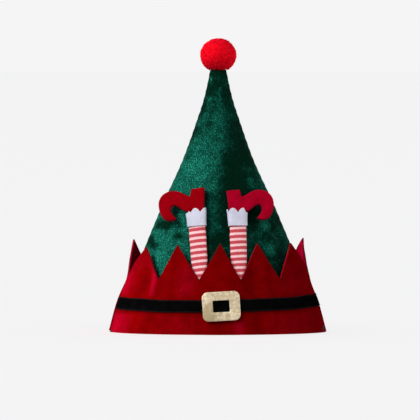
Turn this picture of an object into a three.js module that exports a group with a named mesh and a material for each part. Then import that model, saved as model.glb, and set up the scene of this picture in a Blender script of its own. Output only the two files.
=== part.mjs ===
// An elf's costume hat, standing on its hem: a tall crown of two velvet panels, sewn at the hem into a felt
// brim with a pointed edge, a belt with a buckle round the brim, two stuffed legs that kick up out of the
// brim, and a pompom on the tip. Millimetres, +Z up, front at -Y. The origin is on the floor under the
// hat's middle.
import * as THREE from "three";

// Cloth and gaps
const VELVET = 1.6; // wall of the crown
const FELT = 2; // wall of the brim
const BELT_FELT = 1;
const CUFF_FELT = 1.1;
const GAP = 0.4; // air between two pieces that lie together
const HEM_GAP = 0.5; // the same between crown and brim, whose facets don't line up
const SEAM_GAP = 0.3; // the same between the two panels of the crown

// Outside of the hem, which is the hat's widest place
const HEM_HALF_WIDTH = 119.3;
const HEM_HALF_DEPTH = 68;
const HEM_LAYER = FELT + HEM_GAP; // the crown's hem lies this far inside the brim's

// Crown: outside half-width and half-depth at heights above the hem, up to a small round tip
const CROWN_SECTIONS = [
  { height: 0, half_width: HEM_HALF_WIDTH - HEM_LAYER, half_depth: HEM_HALF_DEPTH - HEM_LAYER },
  { height: 30, half_width: 106, half_depth: 60 },
  { height: 56, half_width: 96, half_depth: 54.8 },
  { height: 100, half_width: 78.6, half_depth: 46 },
  { height: 144, half_width: 59.9, half_depth: 36.8 },
  { height: 188, half_width: 40.2, half_depth: 27 },
  { height: 232, half_width: 24.2, half_depth: 18.2 },
  { height: 254, half_width: 17, half_depth: 14 },
  { height: 272, half_width: 12.6, half_depth: 11.3 },
  { height: 286, half_width: 9.6, half_depth: 9.2 },
];
const CROWN_TIP = { rise: 5, steps: 4, closing: 0.96 }; // closing: how nearly it closes, 1 being shut
const CROWN_ROWS = 22;
const PANEL_COLUMNS = 22;
const CROWN_PANELS = [
  { name: "crown_front", first_turn: -90, side: -1 },
  { name: "crown_back", first_turn: 90, side: 1 },
];

// Soft ridges (out above 0) and dents (out below 0) of the crown: where they are and how far they reach
const CROWN_FOLDS = [
  { turn: 2, turn_reach: 26, height: 168, height_reach: 120, out: 1.6 }, // crease down the front
  { turn: -54, turn_reach: 16, height: 96, height_reach: 26, out: -2.4 }, // dent behind a left point
  { turn: -36, turn_reach: 10, height: 114, height_reach: 18, out: -1.4 }, // fold below the left toe
  { turn: 46, turn_reach: 14, height: 97, height_reach: 22, out: 1.4 }, // swelling below the right toe
  { turn: -70, turn_reach: 46, height: 267, height_reach: 14, out: -0.9 }, // pinch below the pompom
  { turn: 150, turn_reach: 30, height: 150, height_reach: 60, out: -1.8 }, // hollow in the back
];

// Brim: outside half-width and half-depth. It stands further off the crown the higher it is.
const BRIM_SECTIONS = [
  { height: 0, half_width: HEM_HALF_WIDTH, half_depth: HEM_HALF_DEPTH },
  { height: 32, half_width: 110.6, half_depth: 64.2 },
  { height: 58, half_width: 101.2, half_depth: 61 },
  { height: 80, half_width: 97.6, half_depth: 58.4 },
  { height: 102, half_width: 95.4, half_depth: 55.6 },
];

// Points of the brim, from the front one round by way of +X: width along the valleys, height of the tip above
// the floor, how far the tip leans round the hat, and how far it stands out
const VALLEY_HEIGHT = 59.4;
const FIRST_VALLEY = -21.4; // start of the front point, left of the middle
const POINTS = [
  { width: 46.5, tip: 99.2, lean: 0.4, out: 0 },
  { width: 45, tip: 98.6, lean: -1.4, out: 0 },
  { width: 59, tip: 98.8, lean: -9.3, out: 0 },
  { width: 42, tip: 102, lean: 6.4, out: 6 },
  { width: 42.6, tip: 98, lean: 1.5, out: 0.4 },
  { width: 42.6, tip: 99.4, lean: -0.8, out: 0 },
  { width: 42.6, tip: 97.6, lean: 1, out: 0.5 },
  { width: 42.6, tip: 99, lean: -1.2, out: 0 },
  { width: 56, tip: 100.8, lean: -0.5, out: 3 },
  { width: 52, tip: 94.2, lean: 3.6, out: 0 },
  { width: 46.5, tip: 95.8, lean: -3, out: 0 },
];
const COLUMNS_PER_POINT = 6;
const BRIM_BODY_HEIGHT = 54; // rows run level up to here, and above it they follow the points
const BRIM_BODY_ROWS = 4;
const BRIM_POINT_ROWS = 4;

// Upright waves of the brim. They fade out towards the hem, which is sewn down.
const BRIM_WAVE_RISE = 40;
const BRIM_WAVES = [
  { turn: 23, turn_reach: 9, out: -0.9 }, // the crease right of the buckle
  { turn: 42, turn_reach: 12, out: 0.8 },
  { turn: -37, turn_reach: 10, out: 0.9 },
  { turn: -52, turn_reach: 9, out: -1 },
  { turn: -68, turn_reach: 11, out: 0.9 },
  { turn: 125, turn_reach: 16, out: -0.9 },
  { turn: -140, turn_reach: 20, out: 0.9 },
];

// Belt: its middle is lowest at the front, and its right side is a little higher than its left
const BELT_WIDTH = 13.2;
const BELT_FRONT_HEIGHT = 31.4;
const BELT_SIDE_RISE = 2.3;
const BELT_TILT_RISE = 1.65;

// Buckle
const BUCKLE = { width: 41.2, height: 32.4, corner: 6.5, thickness: 2, x: 3, z: 31.2, tilt: 3.3 };
const BUCKLE_HOLE = { width: 17.8, height: 12.6, corner: 0.8 };
const CORNER_STEPS = 4;
const SIDE_STEPS = 3;

// Legs, each in a frame of its own on the crown: x across, -Y off the crown, z up from the valley in the
// brim. The rows give where a leg's middle is at the valley and at the ankle, the side that the toes point
// to, the place of the shoe on the ankle, the heel's height at its two corners and the place of the scallops.
const ANKLE_HEIGHT = 134;
const LEGS = [
  {
    side: "left",
    toes: -1,
    bottom_x: -19,
    top_x: -23.2,
    shoe_shift: -1,
    shoe_rise: 0,
    heel_in: 25.6,
    heel_out: 25.3,
    scallop_shift: 0.575,
  },
  {
    side: "right",
    toes: 1,
    bottom_x: 22.6,
    top_x: 19.4,
    shoe_shift: -1.4,
    shoe_rise: -1.5,
    heel_in: 23.8,
    heel_out: 25.4,
    scallop_shift: 0.083,
  },
];
const LEG_SECTIONS = [
  { height: -9, width: 14, thickness: 2.7, standoff: 0.8 },
  { height: 4, width: 17.6, thickness: 3.7, standoff: 0.8 },
  { height: 22, width: 18.8, thickness: 4.9, standoff: 1 },
  { height: 46, width: 18.8, thickness: 6.6, standoff: 1.6 },
  { height: 58, width: 18, thickness: 6.8, standoff: 2.2 },
  { height: 68, width: 17, thickness: 6.8, standoff: 2.4 },
];
const LEG_SIDES = 20;
const LEG_ROUNDNESS = 0.75; // 1 makes an oval section, less makes it boxier
const CUFF_ROUNDNESS = 0.5;
const PAD_BENDS = 64;

// Cuffs: inside width and thickness, and the scallops of the upper edge
const CUFF_SECTIONS = [
  { height: 58.4, width: 18.8, thickness: 8, standoff: 1.7 },
  { height: 65.6, width: 19.4, thickness: 8.3, standoff: 1.6 },
  { height: 72.8, width: 20.8, thickness: 8.6, standoff: 1.5 },
];
const SCALLOPS = 5;
const SCALLOP_RISE = 5;
const SCALLOP_FULL = 6; // scallops are full up to here from the middle, and gone beside the instep
const SCALLOP_END = 9.6;
const COLUMNS_PER_SCALLOP = 6;

// Shoes: outline from the ankle, first number towards the toes and second up from the ankle's height
const SHOE = { thickness: 6.6, edge: 1, standoff: 2.5, ankle_half_width: 8, ankle_z: 75.4 };
const HEEL = { bottom_in: -9.3, bottom: -0.6, top_in: -10.4, top_out: 4.5, notch: [6.6, 17.2] };
const TOE_CURVES = [
  { from_handle: [12, 19.2], to_handle: [18, 24.8], to: [26.6, 24.8] }, // sole
  { from_handle: [35.4, 24.8], to_handle: [42.8, 18.4], to: [42.8, 9.6] }, // round the front
  { from_handle: [42.8, -0.6], to_handle: [38.4, -9.4], to: [30.6, -9.4] },
  { from_handle: [27.6, -9.4], to_handle: [25, -8.6], to: [23.4, -7] }, // tip of the curl
  { from_handle: [26.8, -4], to_handle: [29.2, -0.2], to: [29.2, 3.2] }, // inside of the curl
  { from_handle: [29.2, 6.2], to_handle: [27, 7.9], to: [24.6, 7.7] },
  { from_handle: [21, 7.3], to_handle: [17, 1.4], to: [11.6, -0.6] }, // instep
];
const CURVE_STEPS = 5;

// Pompom, with a socket below for the crown's tip
const POMPOM = { radius: 19.8, half_height: 18.2, middle: 304.2, socket: 9.2, sides: 24, rows: 10 };
const SOCKET_STEPS = 3;

const VELVET_GREEN = { color: 0x0c4a36, roughness: 0.9, metalness: 0 };
const FELT_RED = { color: 0x86060f, roughness: 0.95, metalness: 0 };
const BELT_BLACK = { color: 0x0b0c10, roughness: 0.9, metalness: 0 };
const GLITTER_GOLD = { color: 0xd4c9a0, roughness: 0.4, metalness: 0.6 };
const STOCKING_STRIPE = { color: 0xe6a9a6, roughness: 0.9, metalness: 0 };
const CUFF_WHITE = { color: 0xd8dae6, roughness: 0.95, metalness: 0 };
const SHOE_RED = { color: 0x9c0618, roughness: 0.95, metalness: 0 };
const POMPOM_RED = { color: 0xdc0a1e, roughness: 0.95, metalness: 0 };

const FULL_TURN = 2 * Math.PI;
const hat = new THREE.Group();

function addPiece(parent, name, geometry, finish) {
  const piece = new THREE.Mesh(geometry, new THREE.MeshStandardMaterial(finish));
  piece.name = name;
  parent.add(piece);
  return piece;
}

// A smooth function of height through the named columns of a table
function sizesAlong(table, columns) {
  const heights = table.map((row) => row.height);
  const values = table.flatMap((row) => columns.map((column) => row[column]));
  const result = new Float64Array(columns.length);
  const curve = new THREE.CubicInterpolant(heights, values, columns.length, result);
  return (height) => Object.fromEntries(columns.map((column, i) => [column, curve.evaluate(height)[i]]));
}

// 1 in the middle of a fold, falling smoothly to 0 at the end of its reach
function fade(distance, reach) {
  const share = Math.min(1, Math.abs(distance) / reach);
  return 0.5 + 0.5 * Math.cos(Math.PI * share);
}

function degreesBetween(turn, degrees) {
  const difference = THREE.MathUtils.radToDeg(turn) - degrees;
  return THREE.MathUtils.euclideanModulo(difference + 180, 360) - 180;
}

// A point on an oval. A turn of 0 is the front and grows towards +X.
function ovalPoint(half_width, half_depth, turn, height) {
  return new THREE.Vector3(half_width * Math.sin(turn), -half_depth * Math.cos(turn), height);
}

function surface(points, triangles) {
  const geometry = new THREE.BufferGeometry().setFromPoints(points);
  geometry.setIndex(triangles);
  geometry.computeVertexNormals();
  return geometry;
}

// A closed skin over rings of equally many points. The last ring of a hoop joins its first, and the two
// ends of any other skin are closed by flat fans.
function skin(rings, isHoop) {
  const count = rings[0].length;
  const points = rings.flat();
  const triangles = [];
  const bands = isHoop ? rings.length : rings.length - 1;
  for (let band = 0; band < bands; band++) {
    const low = band * count;
    const high = ((band + 1) % rings.length) * count;
    for (let i = 0; i < count; i++) {
      const next = (i + 1) % count;
      triangles.push(low + i, low + next, high + next);
      triangles.push(low + i, high + next, high + i);
    }
  }
  if (!isHoop) {
    const ends = [
      { ring: rings[0], start: 0, turned: true },
      { ring: rings.at(-1), start: (rings.length - 1) * count, turned: false },
    ];
    for (const { ring, start, turned } of ends) {
      const middle = ring.reduce((sum, point) => sum.add(point), new THREE.Vector3()).divideScalar(count);
      points.push(middle);
      for (let i = 0; i < count; i++) {
        const edge = [start + i, start + ((i + 1) % count)];
        triangles.push(points.length - 1, ...(turned ? edge.reverse() : edge));
      }
    }
  }
  return surface(points, triangles);
}

// A closed wall between two sheets of rows and columns of points, joined along their four edges
function wall(outside, inside) {
  const lastRow = outside.length - 1;
  const lastColumn = outside[0].length - 1;
  const points = [...outside.flat(), ...inside.flat()];
  const outer = (row, column) => row * (lastColumn + 1) + column;
  const inner = (row, column) => points.length / 2 + outer(row, column);
  const triangles = [];
  const addFour = (a, b, c, d) => triangles.push(a, b, c, a, c, d);
  for (let row = 0; row < lastRow; row++) {
    const up = row + 1;
    for (let column = 0; column < lastColumn; column++) {
      const on = column + 1;
      addFour(outer(row, column), outer(row, on), outer(up, on), outer(up, column));
      addFour(inner(row, column), inner(up, column), inner(up, on), inner(row, on));
    }
    addFour(outer(row, 0), outer(up, 0), inner(up, 0), inner(row, 0));
    addFour(inner(row, lastColumn), inner(up, lastColumn), outer(up, lastColumn), outer(row, lastColumn));
  }
  for (let column = 0; column < lastColumn; column++) {
    const on = column + 1;
    addFour(inner(0, column), inner(0, on), outer(0, on), outer(0, column));
    addFour(outer(lastRow, column), outer(lastRow, on), inner(lastRow, on), inner(lastRow, column));
  }
  return surface(points, triangles);
}

// Crown
const crownSize = sizesAlong(CROWN_SECTIONS, ["half_width", "half_depth"]);
const CROWN_TOP = CROWN_SECTIONS.at(-1).height;

function crownPoint(turn, height, inset) {
  const { half_width, half_depth } = crownSize(height);
  let out = -inset;
  for (const fold of CROWN_FOLDS) {
    const across = fade(degreesBetween(turn, fold.turn), fold.turn_reach);
    out += fold.out * across * fade(height - fold.height, fold.height_reach);
  }
  return ovalPoint(half_width + out, half_depth + out, turn, height);
}

function crownTurnAt(x, height) {
  return Math.asin(x / crownSize(height).half_width);
}

// Rows of one face of a panel from the hem to the tip, each inset from the outside, with half of the seam's
// gap along both edges
function panelRows({ first_turn, side }, inset) {
  const start = THREE.MathUtils.degToRad(first_turn);
  const turns = Array.from({ length: PANEL_COLUMNS + 1 }, (_, i) => start + (Math.PI * i) / PANEL_COLUMNS);
  const rows = [];
  const top = CROWN_TOP - inset;
  for (let row = 0; row <= CROWN_ROWS; row++) {
    const height = (top * row) / CROWN_ROWS;
    rows.push(turns.map((turn) => crownPoint(turn, height, inset)));
  }
  const { half_width, half_depth } = crownSize(CROWN_TOP);
  for (let step = 1; step <= CROWN_TIP.steps; step++) {
    const angle = (Math.PI / 2) * CROWN_TIP.closing * (step / CROWN_TIP.steps);
    const height = top + CROWN_TIP.rise * Math.sin(angle);
    const narrowing = Math.cos(angle);
    const across = (half_width - inset) * narrowing;
    const deep = (half_depth - inset) * narrowing;
    rows.push(turns.map((turn) => ovalPoint(across, deep, turn, height)));
  }
  for (const point of rows.flat()) {
    point.y = side * Math.max(side * point.y, SEAM_GAP / 2);
  }
  return rows;
}

for (const panel of CROWN_PANELS) {
  addPiece(hat, panel.name, wall(panelRows(panel, 0), panelRows(panel, VELVET)), VELVET_GREEN);
}

// Brim
const brimSize = sizesAlong(BRIM_SECTIONS, ["half_width", "half_depth"]);
const valleySize = brimSize(VALLEY_HEIGHT);
const valleyOval = new THREE.EllipseCurve(0, 0, valleySize.half_width, valleySize.half_depth, 0, FULL_TURN);
valleyOval.arcLengthDivisions = 2000;
const BRIM_GIRTH = valleyOval.getLength();

// The turn at a share of the way round the brim, measured along the oval from the front
function turnAtShare(share) {
  const quarter = 0.25;
  const fromSide = THREE.MathUtils.euclideanModulo(share - quarter, 1);
  return FULL_TURN * (valleyOval.getUtoTmapping(fromSide) + quarter);
}

function brimPoint(turn, height, out) {
  const { half_width, half_depth } = brimSize(height);
  const rise = THREE.MathUtils.smoothstep(height, 0, BRIM_WAVE_RISE);
  let wave = 0;
  for (const row of BRIM_WAVES) {
    wave += row.out * rise * fade(degreesBetween(turn, row.turn), row.turn_reach);
  }
  return ovalPoint(half_width + out + wave, half_depth + out + wave, turn, height);
}

// One column for each step across each point: its share of the way round, its point, and how much of the
// climb from valley to tip it makes
const POINTS_WIDTH = POINTS.reduce((sum, point) => sum + point.width, 0);
const BRIM_COLUMNS = [];
let valley = FIRST_VALLEY / BRIM_GIRTH;
for (const point of POINTS) {
  const width = point.width / POINTS_WIDTH;
  for (let step = 0; step < COLUMNS_PER_POINT; step++) {
    const across = step / COLUMNS_PER_POINT;
    BRIM_COLUMNS.push({ share: valley + across * width, point, climb: 1 - Math.abs(2 * across - 1) });
  }
  valley += width;
}

function brimRing(row, out) {
  return BRIM_COLUMNS.map(({ share, point, climb }) => {
    if (row <= BRIM_BODY_ROWS) {
      return brimPoint(turnAtShare(share), (BRIM_BODY_HEIGHT * row) / BRIM_BODY_ROWS, out);
    }
    const rise = (row - BRIM_BODY_ROWS) / BRIM_POINT_ROWS;
    const edge = VALLEY_HEIGHT + climb * (point.tip - VALLEY_HEIGHT);
    const height = BRIM_BODY_HEIGHT + rise * (edge - BRIM_BODY_HEIGHT);
    const bend = climb * rise * rise;
    const turn = turnAtShare(share + (bend * point.lean) / BRIM_GIRTH);
    return brimPoint(turn, height, out + bend * climb * point.out);
  });
}

const brimRows = Array.from({ length: BRIM_BODY_ROWS + BRIM_POINT_ROWS + 1 }, (_, row) => row);
const brimOutside = brimRows.map((row) => brimRing(row, 0));
const brimInside = brimRows.map((row) => brimRing(row, -FELT)).reverse();
addPiece(hat, "brim", skin([...brimOutside, ...brimInside], true), FELT_RED);

// Belt
function beltRing(above, out) {
  return BRIM_COLUMNS.map(({ share }) => {
    const turn = turnAtShare(share);
    const side = Math.sin(turn);
    const middle = BELT_FRONT_HEIGHT + BELT_SIDE_RISE * side * side + BELT_TILT_RISE * side;
    return brimPoint(turn, middle + above, out);
  });
}

const BELT_OUTSIDE = GAP + BELT_FELT;
const beltRings = [
  beltRing(-BELT_WIDTH / 2, BELT_OUTSIDE),
  beltRing(BELT_WIDTH / 2, BELT_OUTSIDE),
  beltRing(BELT_WIDTH / 2, GAP),
  beltRing(-BELT_WIDTH / 2, GAP),
];
addPiece(hat, "belt", skin(beltRings, true), BELT_BLACK);

// Buckle
// A rectangle with round corners, with the same number of points whatever its size, right side first
function roundedRectangle({ width, height, corner }) {
  const corners = [
    { across: 1, up: 1, angle: 0 },
    { across: -1, up: 1, angle: Math.PI / 2 },
    { across: -1, up: -1, angle: Math.PI },
    { across: 1, up: -1, angle: 1.5 * Math.PI },
  ];
  const bends = corners.map(({ across, up, angle }) =>
    Array.from({ length: CORNER_STEPS + 1 }, (_, step) => {
      const bend = angle + ((Math.PI / 2) * step) / CORNER_STEPS;
      const middle = new THREE.Vector2(across * (width / 2 - corner), up * (height / 2 - corner));
      return middle.add(new THREE.Vector2(Math.cos(bend), Math.sin(bend)).multiplyScalar(corner));
    }),
  );
  return bends.flatMap((bend, i) => {
    const next = bends[(i + 1) % bends.length][0];
    const side = Array.from({ length: SIDE_STEPS - 1 }, (_, step) =>
      bend.at(-1).clone().lerp(next, (step + 1) / SIDE_STEPS),
    );
    return [...bend, ...side];
  });
}

function buckleRing(frame, out) {
  const tilt = THREE.MathUtils.degToRad(BUCKLE.tilt);
  const centre = new THREE.Vector2();
  return roundedRectangle(frame).map((corner) => {
    const turned = corner.rotateAround(centre, tilt);
    const height = BUCKLE.z + turned.y;
    const turn = Math.asin((BUCKLE.x + turned.x) / brimSize(height).half_width);
    return brimPoint(turn, height, out);
  });
}

const BUCKLE_BACK = BELT_OUTSIDE + GAP;
const BUCKLE_FRONT = BUCKLE_BACK + BUCKLE.thickness;
const buckleRings = [
  buckleRing(BUCKLE, BUCKLE_BACK),
  buckleRing(BUCKLE, BUCKLE_FRONT),
  buckleRing(BUCKLE_HOLE, BUCKLE_FRONT),
  buckleRing(BUCKLE_HOLE, BUCKLE_BACK),
];
addPiece(hat, "buckle", skin(buckleRings, true), GLITTER_GOLD);

// Legs
// A group that lies on the front of the crown along a leg
function legGroup({ bottom_x, top_x }) {
  const nudge = 0.05;
  const bottomTurn = crownTurnAt(bottom_x, VALLEY_HEIGHT);
  const topTurn = crownTurnAt(top_x, ANKLE_HEIGHT);
  const bottom = crownPoint(bottomTurn, VALLEY_HEIGHT, 0);
  const top = crownPoint(topTurn, ANKLE_HEIGHT, 0);
  const middleTurn = (bottomTurn + topTurn) / 2;
  const middleHeight = (VALLEY_HEIGHT + ANKLE_HEIGHT) / 2;
  const across = crownPoint(middleTurn + nudge, middleHeight, 0);
  across.sub(crownPoint(middleTurn - nudge, middleHeight, 0));
  const up = top.sub(bottom).normalize();
  const inward = up.clone().cross(across).normalize();
  const side = inward.clone().cross(up);
  const group = new THREE.Group();
  group.quaternion.setFromRotationMatrix(new THREE.Matrix4().makeBasis(side, inward, up));
  group.position.copy(bottom);
  hat.add(group);
  return group;
}

// A flattened round section whose back stands off the crown, with evenly spaced points
function padRing({ height, width, thickness, standoff }, sides, roundness, wall) {
  const boxy = (value) => Math.sign(value) * Math.abs(value) ** roundness;
  const bends = Array.from({ length: PAD_BENDS }, (_, i) => {
    const angle = (FULL_TURN * i) / PAD_BENDS;
    const x = (width / 2 + wall) * boxy(Math.cos(angle));
    const y = (thickness / 2 + wall) * boxy(Math.sin(angle));
    return new THREE.Vector3(x, y - standoff - thickness / 2, height);
  });
  return new THREE.CatmullRomCurve3(bends, true).getSpacedPoints(sides).slice(0, sides);
}

function stocking() {
  return skin(LEG_SECTIONS.map((section) => padRing(section, LEG_SIDES, LEG_ROUNDNESS, 0)), false);
}

function cuff({ toes, scallop_shift }) {
  const columns = SCALLOPS * COLUMNS_PER_SCALLOP;
  const raiseScallops = (ring) =>
    ring.forEach((point, i) => {
      const wave = Math.abs(Math.sin(Math.PI * ((SCALLOPS * i) / columns + scallop_shift)));
      const fullness = 1 - THREE.MathUtils.smoothstep(toes * point.x, SCALLOP_FULL, SCALLOP_END);
      point.z += SCALLOP_RISE * wave * fullness;
    });
  const outside = CUFF_SECTIONS.map((section) => padRing(section, columns, CUFF_ROUNDNESS, CUFF_FELT));
  const inside = CUFF_SECTIONS.map((section) => padRing(section, columns, CUFF_ROUNDNESS, 0)).reverse();
  raiseScallops(outside.at(-1));
  raiseScallops(inside[0]);
  return skin([...outside, ...inside], true);
}

// The shoe's ankle stands in the cuff, on the end of the stocking
function shoe({ toes, shoe_shift, shoe_rise, heel_in, heel_out }) {
  const ankleIn = -SHOE.ankle_half_width - shoe_shift;
  const ankleOut = SHOE.ankle_half_width - shoe_shift;
  const ankleEnd = LEG_SECTIONS.at(-1).height + GAP - SHOE.ankle_z - shoe_rise;
  const outline = new THREE.Path();
  outline.moveTo(ankleIn, ankleEnd);
  outline.lineTo(ankleIn, HEEL.bottom);
  outline.lineTo(HEEL.bottom_in - shoe_shift, HEEL.bottom);
  outline.lineTo(HEEL.top_in, heel_in);
  outline.lineTo(HEEL.top_out, heel_out);
  outline.lineTo(...HEEL.notch);
  for (const { from_handle, to_handle, to } of TOE_CURVES) {
    outline.bezierCurveTo(...from_handle, ...to_handle, ...to);
  }
  outline.lineTo(ankleOut, TOE_CURVES.at(-1).to[1]);
  outline.lineTo(ankleOut, ankleEnd);
  const points = outline.getPoints(CURVE_STEPS);
  const shape = new THREE.Shape(points.map(({ x, y }) => new THREE.Vector2(toes * (x + shoe_shift), y)));
  const body = new THREE.ExtrudeGeometry(shape, {
    depth: SHOE.thickness - 2 * SHOE.edge,
    bevelThickness: SHOE.edge,
    bevelSize: SHOE.edge,
    bevelOffset: -SHOE.edge,
    bevelSegments: 2,
  });
  return body.translate(0, 0, SHOE.edge).rotateX(Math.PI / 2);
}

for (const leg of LEGS) {
  const group = legGroup(leg);
  addPiece(group, `leg_${leg.side}`, stocking(), STOCKING_STRIPE);
  addPiece(group, `cuff_${leg.side}`, cuff(leg), CUFF_WHITE);
  const foot = addPiece(group, `shoe_${leg.side}`, shoe(leg), SHOE_RED);
  foot.position.set(0, -SHOE.standoff, SHOE.ankle_z + leg.shoe_rise);
}

// Pompom
function pompomProfile() {
  const { radius, half_height, middle, socket, rows } = POMPOM;
  const { half_width } = crownSize(CROWN_TOP);
  const roof = Array.from({ length: SOCKET_STEPS + 1 }, (_, step) => {
    const across = (socket * step) / SOCKET_STEPS;
    const rise = (CROWN_TIP.rise + GAP) * Math.sqrt(1 - (across / (half_width + GAP)) ** 2);
    return new THREE.Vector2(across, CROWN_TOP + GAP + rise);
  });
  const lowest = -Math.acos((socket + GAP) / radius);
  const outside = Array.from({ length: rows + 1 }, (_, row) => {
    const angle = THREE.MathUtils.lerp(lowest, Math.PI / 2, row / rows);
    const across = row === rows ? 0 : radius * Math.cos(angle);
    return new THREE.Vector2(across, middle + half_height * Math.sin(angle));
  });
  return [...roof, ...outside];
}

const ball = new THREE.LatheGeometry(pompomProfile(), POMPOM.sides).rotateX(Math.PI / 2);
addPiece(hat, "pompom", ball, POMPOM_RED);

export default hat;
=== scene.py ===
# %% [markdown]
# # An elf's costume hat, dressed in its cloth
#
# The hat is a tall cone of crushed green velvet. A red felt brim with cut points is turned up round it, a
# black felt belt with a glitter buckle lies on the brim, two stuffed striped legs kick up out of it, and a
# pompom sits on the tip. Its construction exists already, as plain solids. This lesson loads them as a
# fixed frame and makes each piece again as the cloth that it really is, in the same place and at the same
# size.

# %% Load the solids
import math

import bmesh
import bpy
import numpy as np
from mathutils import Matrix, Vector


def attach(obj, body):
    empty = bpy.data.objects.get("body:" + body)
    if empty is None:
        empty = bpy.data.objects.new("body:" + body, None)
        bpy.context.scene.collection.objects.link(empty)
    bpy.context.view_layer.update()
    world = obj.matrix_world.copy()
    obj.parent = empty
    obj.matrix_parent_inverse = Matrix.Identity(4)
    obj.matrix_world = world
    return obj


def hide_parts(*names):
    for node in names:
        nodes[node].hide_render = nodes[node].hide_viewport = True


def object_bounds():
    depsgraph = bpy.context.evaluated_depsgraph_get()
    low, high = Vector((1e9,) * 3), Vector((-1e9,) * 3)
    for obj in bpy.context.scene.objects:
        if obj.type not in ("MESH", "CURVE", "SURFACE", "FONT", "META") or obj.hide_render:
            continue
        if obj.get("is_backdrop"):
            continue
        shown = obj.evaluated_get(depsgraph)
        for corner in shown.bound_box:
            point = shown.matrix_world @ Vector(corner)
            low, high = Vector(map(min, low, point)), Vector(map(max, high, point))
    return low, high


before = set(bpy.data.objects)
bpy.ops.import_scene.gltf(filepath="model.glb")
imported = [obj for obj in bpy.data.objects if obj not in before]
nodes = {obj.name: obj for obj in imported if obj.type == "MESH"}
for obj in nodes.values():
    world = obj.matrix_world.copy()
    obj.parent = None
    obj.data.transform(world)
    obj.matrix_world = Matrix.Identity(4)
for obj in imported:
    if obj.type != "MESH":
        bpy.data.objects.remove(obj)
solid_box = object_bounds()
scene = bpy.context.scene
MM = 0.001  # tables and shapes below are in millimetres, and Blender works in metres
BODY = "root"
SIDES = ("left", "right")
print("solids:", ", ".join(sorted(nodes)))

# %% [markdown]
# ## The camera
#
# The picture shows the hat from in front and only a little above its hem, with so little perspective that
# the lens must be long. A short lens close by would fan the cone out. So the camera stands six metres off,
# two degrees up, and its focal length sets the hat's size in the picture.

# %% Set up the camera
CAMERA_AIM = Vector((-9.1, 0, 133.8)) * MM
CAMERA_DISTANCE = 6.0
CAMERA_ELEVATION = math.radians(2)
CAMERA_LENS = 467.5


def put_in_scene(name, data):
    """A new object for a mesh, a camera or a light."""
    thing = bpy.data.objects.new(name, data)
    scene.collection.objects.link(thing)
    return thing


camera = put_in_scene("photo_camera", bpy.data.cameras.new("photo_camera"))
camera.data.lens = CAMERA_LENS
towards_camera = Vector((0, -math.cos(CAMERA_ELEVATION), math.sin(CAMERA_ELEVATION)))
camera.location = CAMERA_AIM + CAMERA_DISTANCE * towards_camera
camera.rotation_euler = towards_camera.to_track_quat("Z", "Y").to_euler()
scene.camera = camera
print("camera at", [round(value, 3) for value in camera.location])

# %% [markdown]
# ## Helpers for node trees
#
# Materials, the studio's air and Geometry Nodes are all node trees. One small helper adds a node, sets its
# properties, and fills its sockets with numbers or with the outputs of other nodes. A few more name the
# nodes that come up most. Every tree below is then a short list of steps that reads from top to bottom.


# %% Add nodes in one line each
def fill(tree, node, sockets):
    """Fills a node's sockets with plain values or with other nodes' outputs."""
    for name, value in sockets.items():
        if isinstance(value, bpy.types.NodeSocket):
            tree.links.new(value, node.inputs[name])
        else:
            node.inputs[name].default_value = value


def add(tree, kind, sockets=None, **properties):
    """Adds a node to a tree, with its properties and sockets."""
    node = tree.nodes.new(kind)
    for name, value in properties.items():
        setattr(node, name, value)
    fill(tree, node, sockets or {})
    return node


def maths(tree, operation, first, second=0.0, third=0.0):
    """The output of a Math node."""
    return add(tree, "ShaderNodeMath", {0: first, 1: second, 2: third}, operation=operation).outputs[0]


def weighted(tree, *terms):
    """Several values, each times its weight, added up."""
    total = 0.0
    for value, weight in terms:
        total = maths(tree, "MULTIPLY_ADD", value, weight, total)
    return total


def ramp(tree, value, low, high, to_low=0.0, to_high=1.0):
    """A value moved smoothly from one range into another."""
    sockets = {"Value": value, "From Min": low, "From Max": high, "To Min": to_low, "To Max": to_high}
    return add(tree, "ShaderNodeMapRange", sockets, interpolation_type="SMOOTHSTEP").outputs[0]


def blend(tree, factor, first, second, way="MIX"):
    """Two colours mixed by a factor."""
    sockets = {0: factor, 6: first, 7: second}
    return add(tree, "ShaderNodeMix", sockets, data_type="RGBA", blend_type=way).outputs[2]


def stored(tree, name):
    """A number that the mesh stores for each of its points."""
    return add(tree, "ShaderNodeAttribute", attribute_name=name).outputs["Fac"]


def place_in(tree):
    """The place of a point on its object."""
    return add(tree, "ShaderNodeTexCoord").outputs["Object"]


def noise(tree, place, scale, detail=2.0, roughness=0.5, distortion=0.0):
    """Soft random patches, so many to a metre."""
    sockets = {
        "Vector": place,
        "Scale": scale,
        "Detail": detail,
        "Roughness": roughness,
        "Distortion": distortion,
    }
    return add(tree, "ShaderNodeTexNoise", sockets).outputs[0]


def bumps(tree, height, strength, depth):
    """The direction of a surface that is roughened by a height, up to a depth in millimetres."""
    sockets = {"Height": height, "Strength": strength, "Distance": depth * MM}
    return add(tree, "ShaderNodeBump", sockets).outputs[0]


def new_group(name, kind, inputs, outputs):
    """An empty node group with named sockets, and its two end nodes."""
    tree = bpy.data.node_groups.new(name, kind)
    for way, sockets in (("INPUT", inputs), ("OUTPUT", outputs)):
        for label, socket in sockets.items():
            tree.interface.new_socket(label, in_out=way, socket_type="NodeSocket" + socket)
    return tree, tree.nodes.new("NodeGroupInput").outputs, tree.nodes.new("NodeGroupOutput")


def new_material(name):
    """An empty material, its node tree and its Principled shader."""
    material = bpy.data.materials.new(name)
    material.use_nodes = True
    return material, material.node_tree, material.node_tree.nodes["Principled BSDF"]


print("node helpers ready")

# %% [markdown]
# ## The studio
#
# The picture has an even pale ground, and light from the left that leaves the right side of the cone dark.
# A white world would flatten that. So the world is white only where the camera sees it, and dim where it
# lights the hat. The lamps light only the hat, and a sun straight above lights only the floor, so that no
# hard shadow falls beside the hem. The Standard view keeps colours as they are set.

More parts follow.
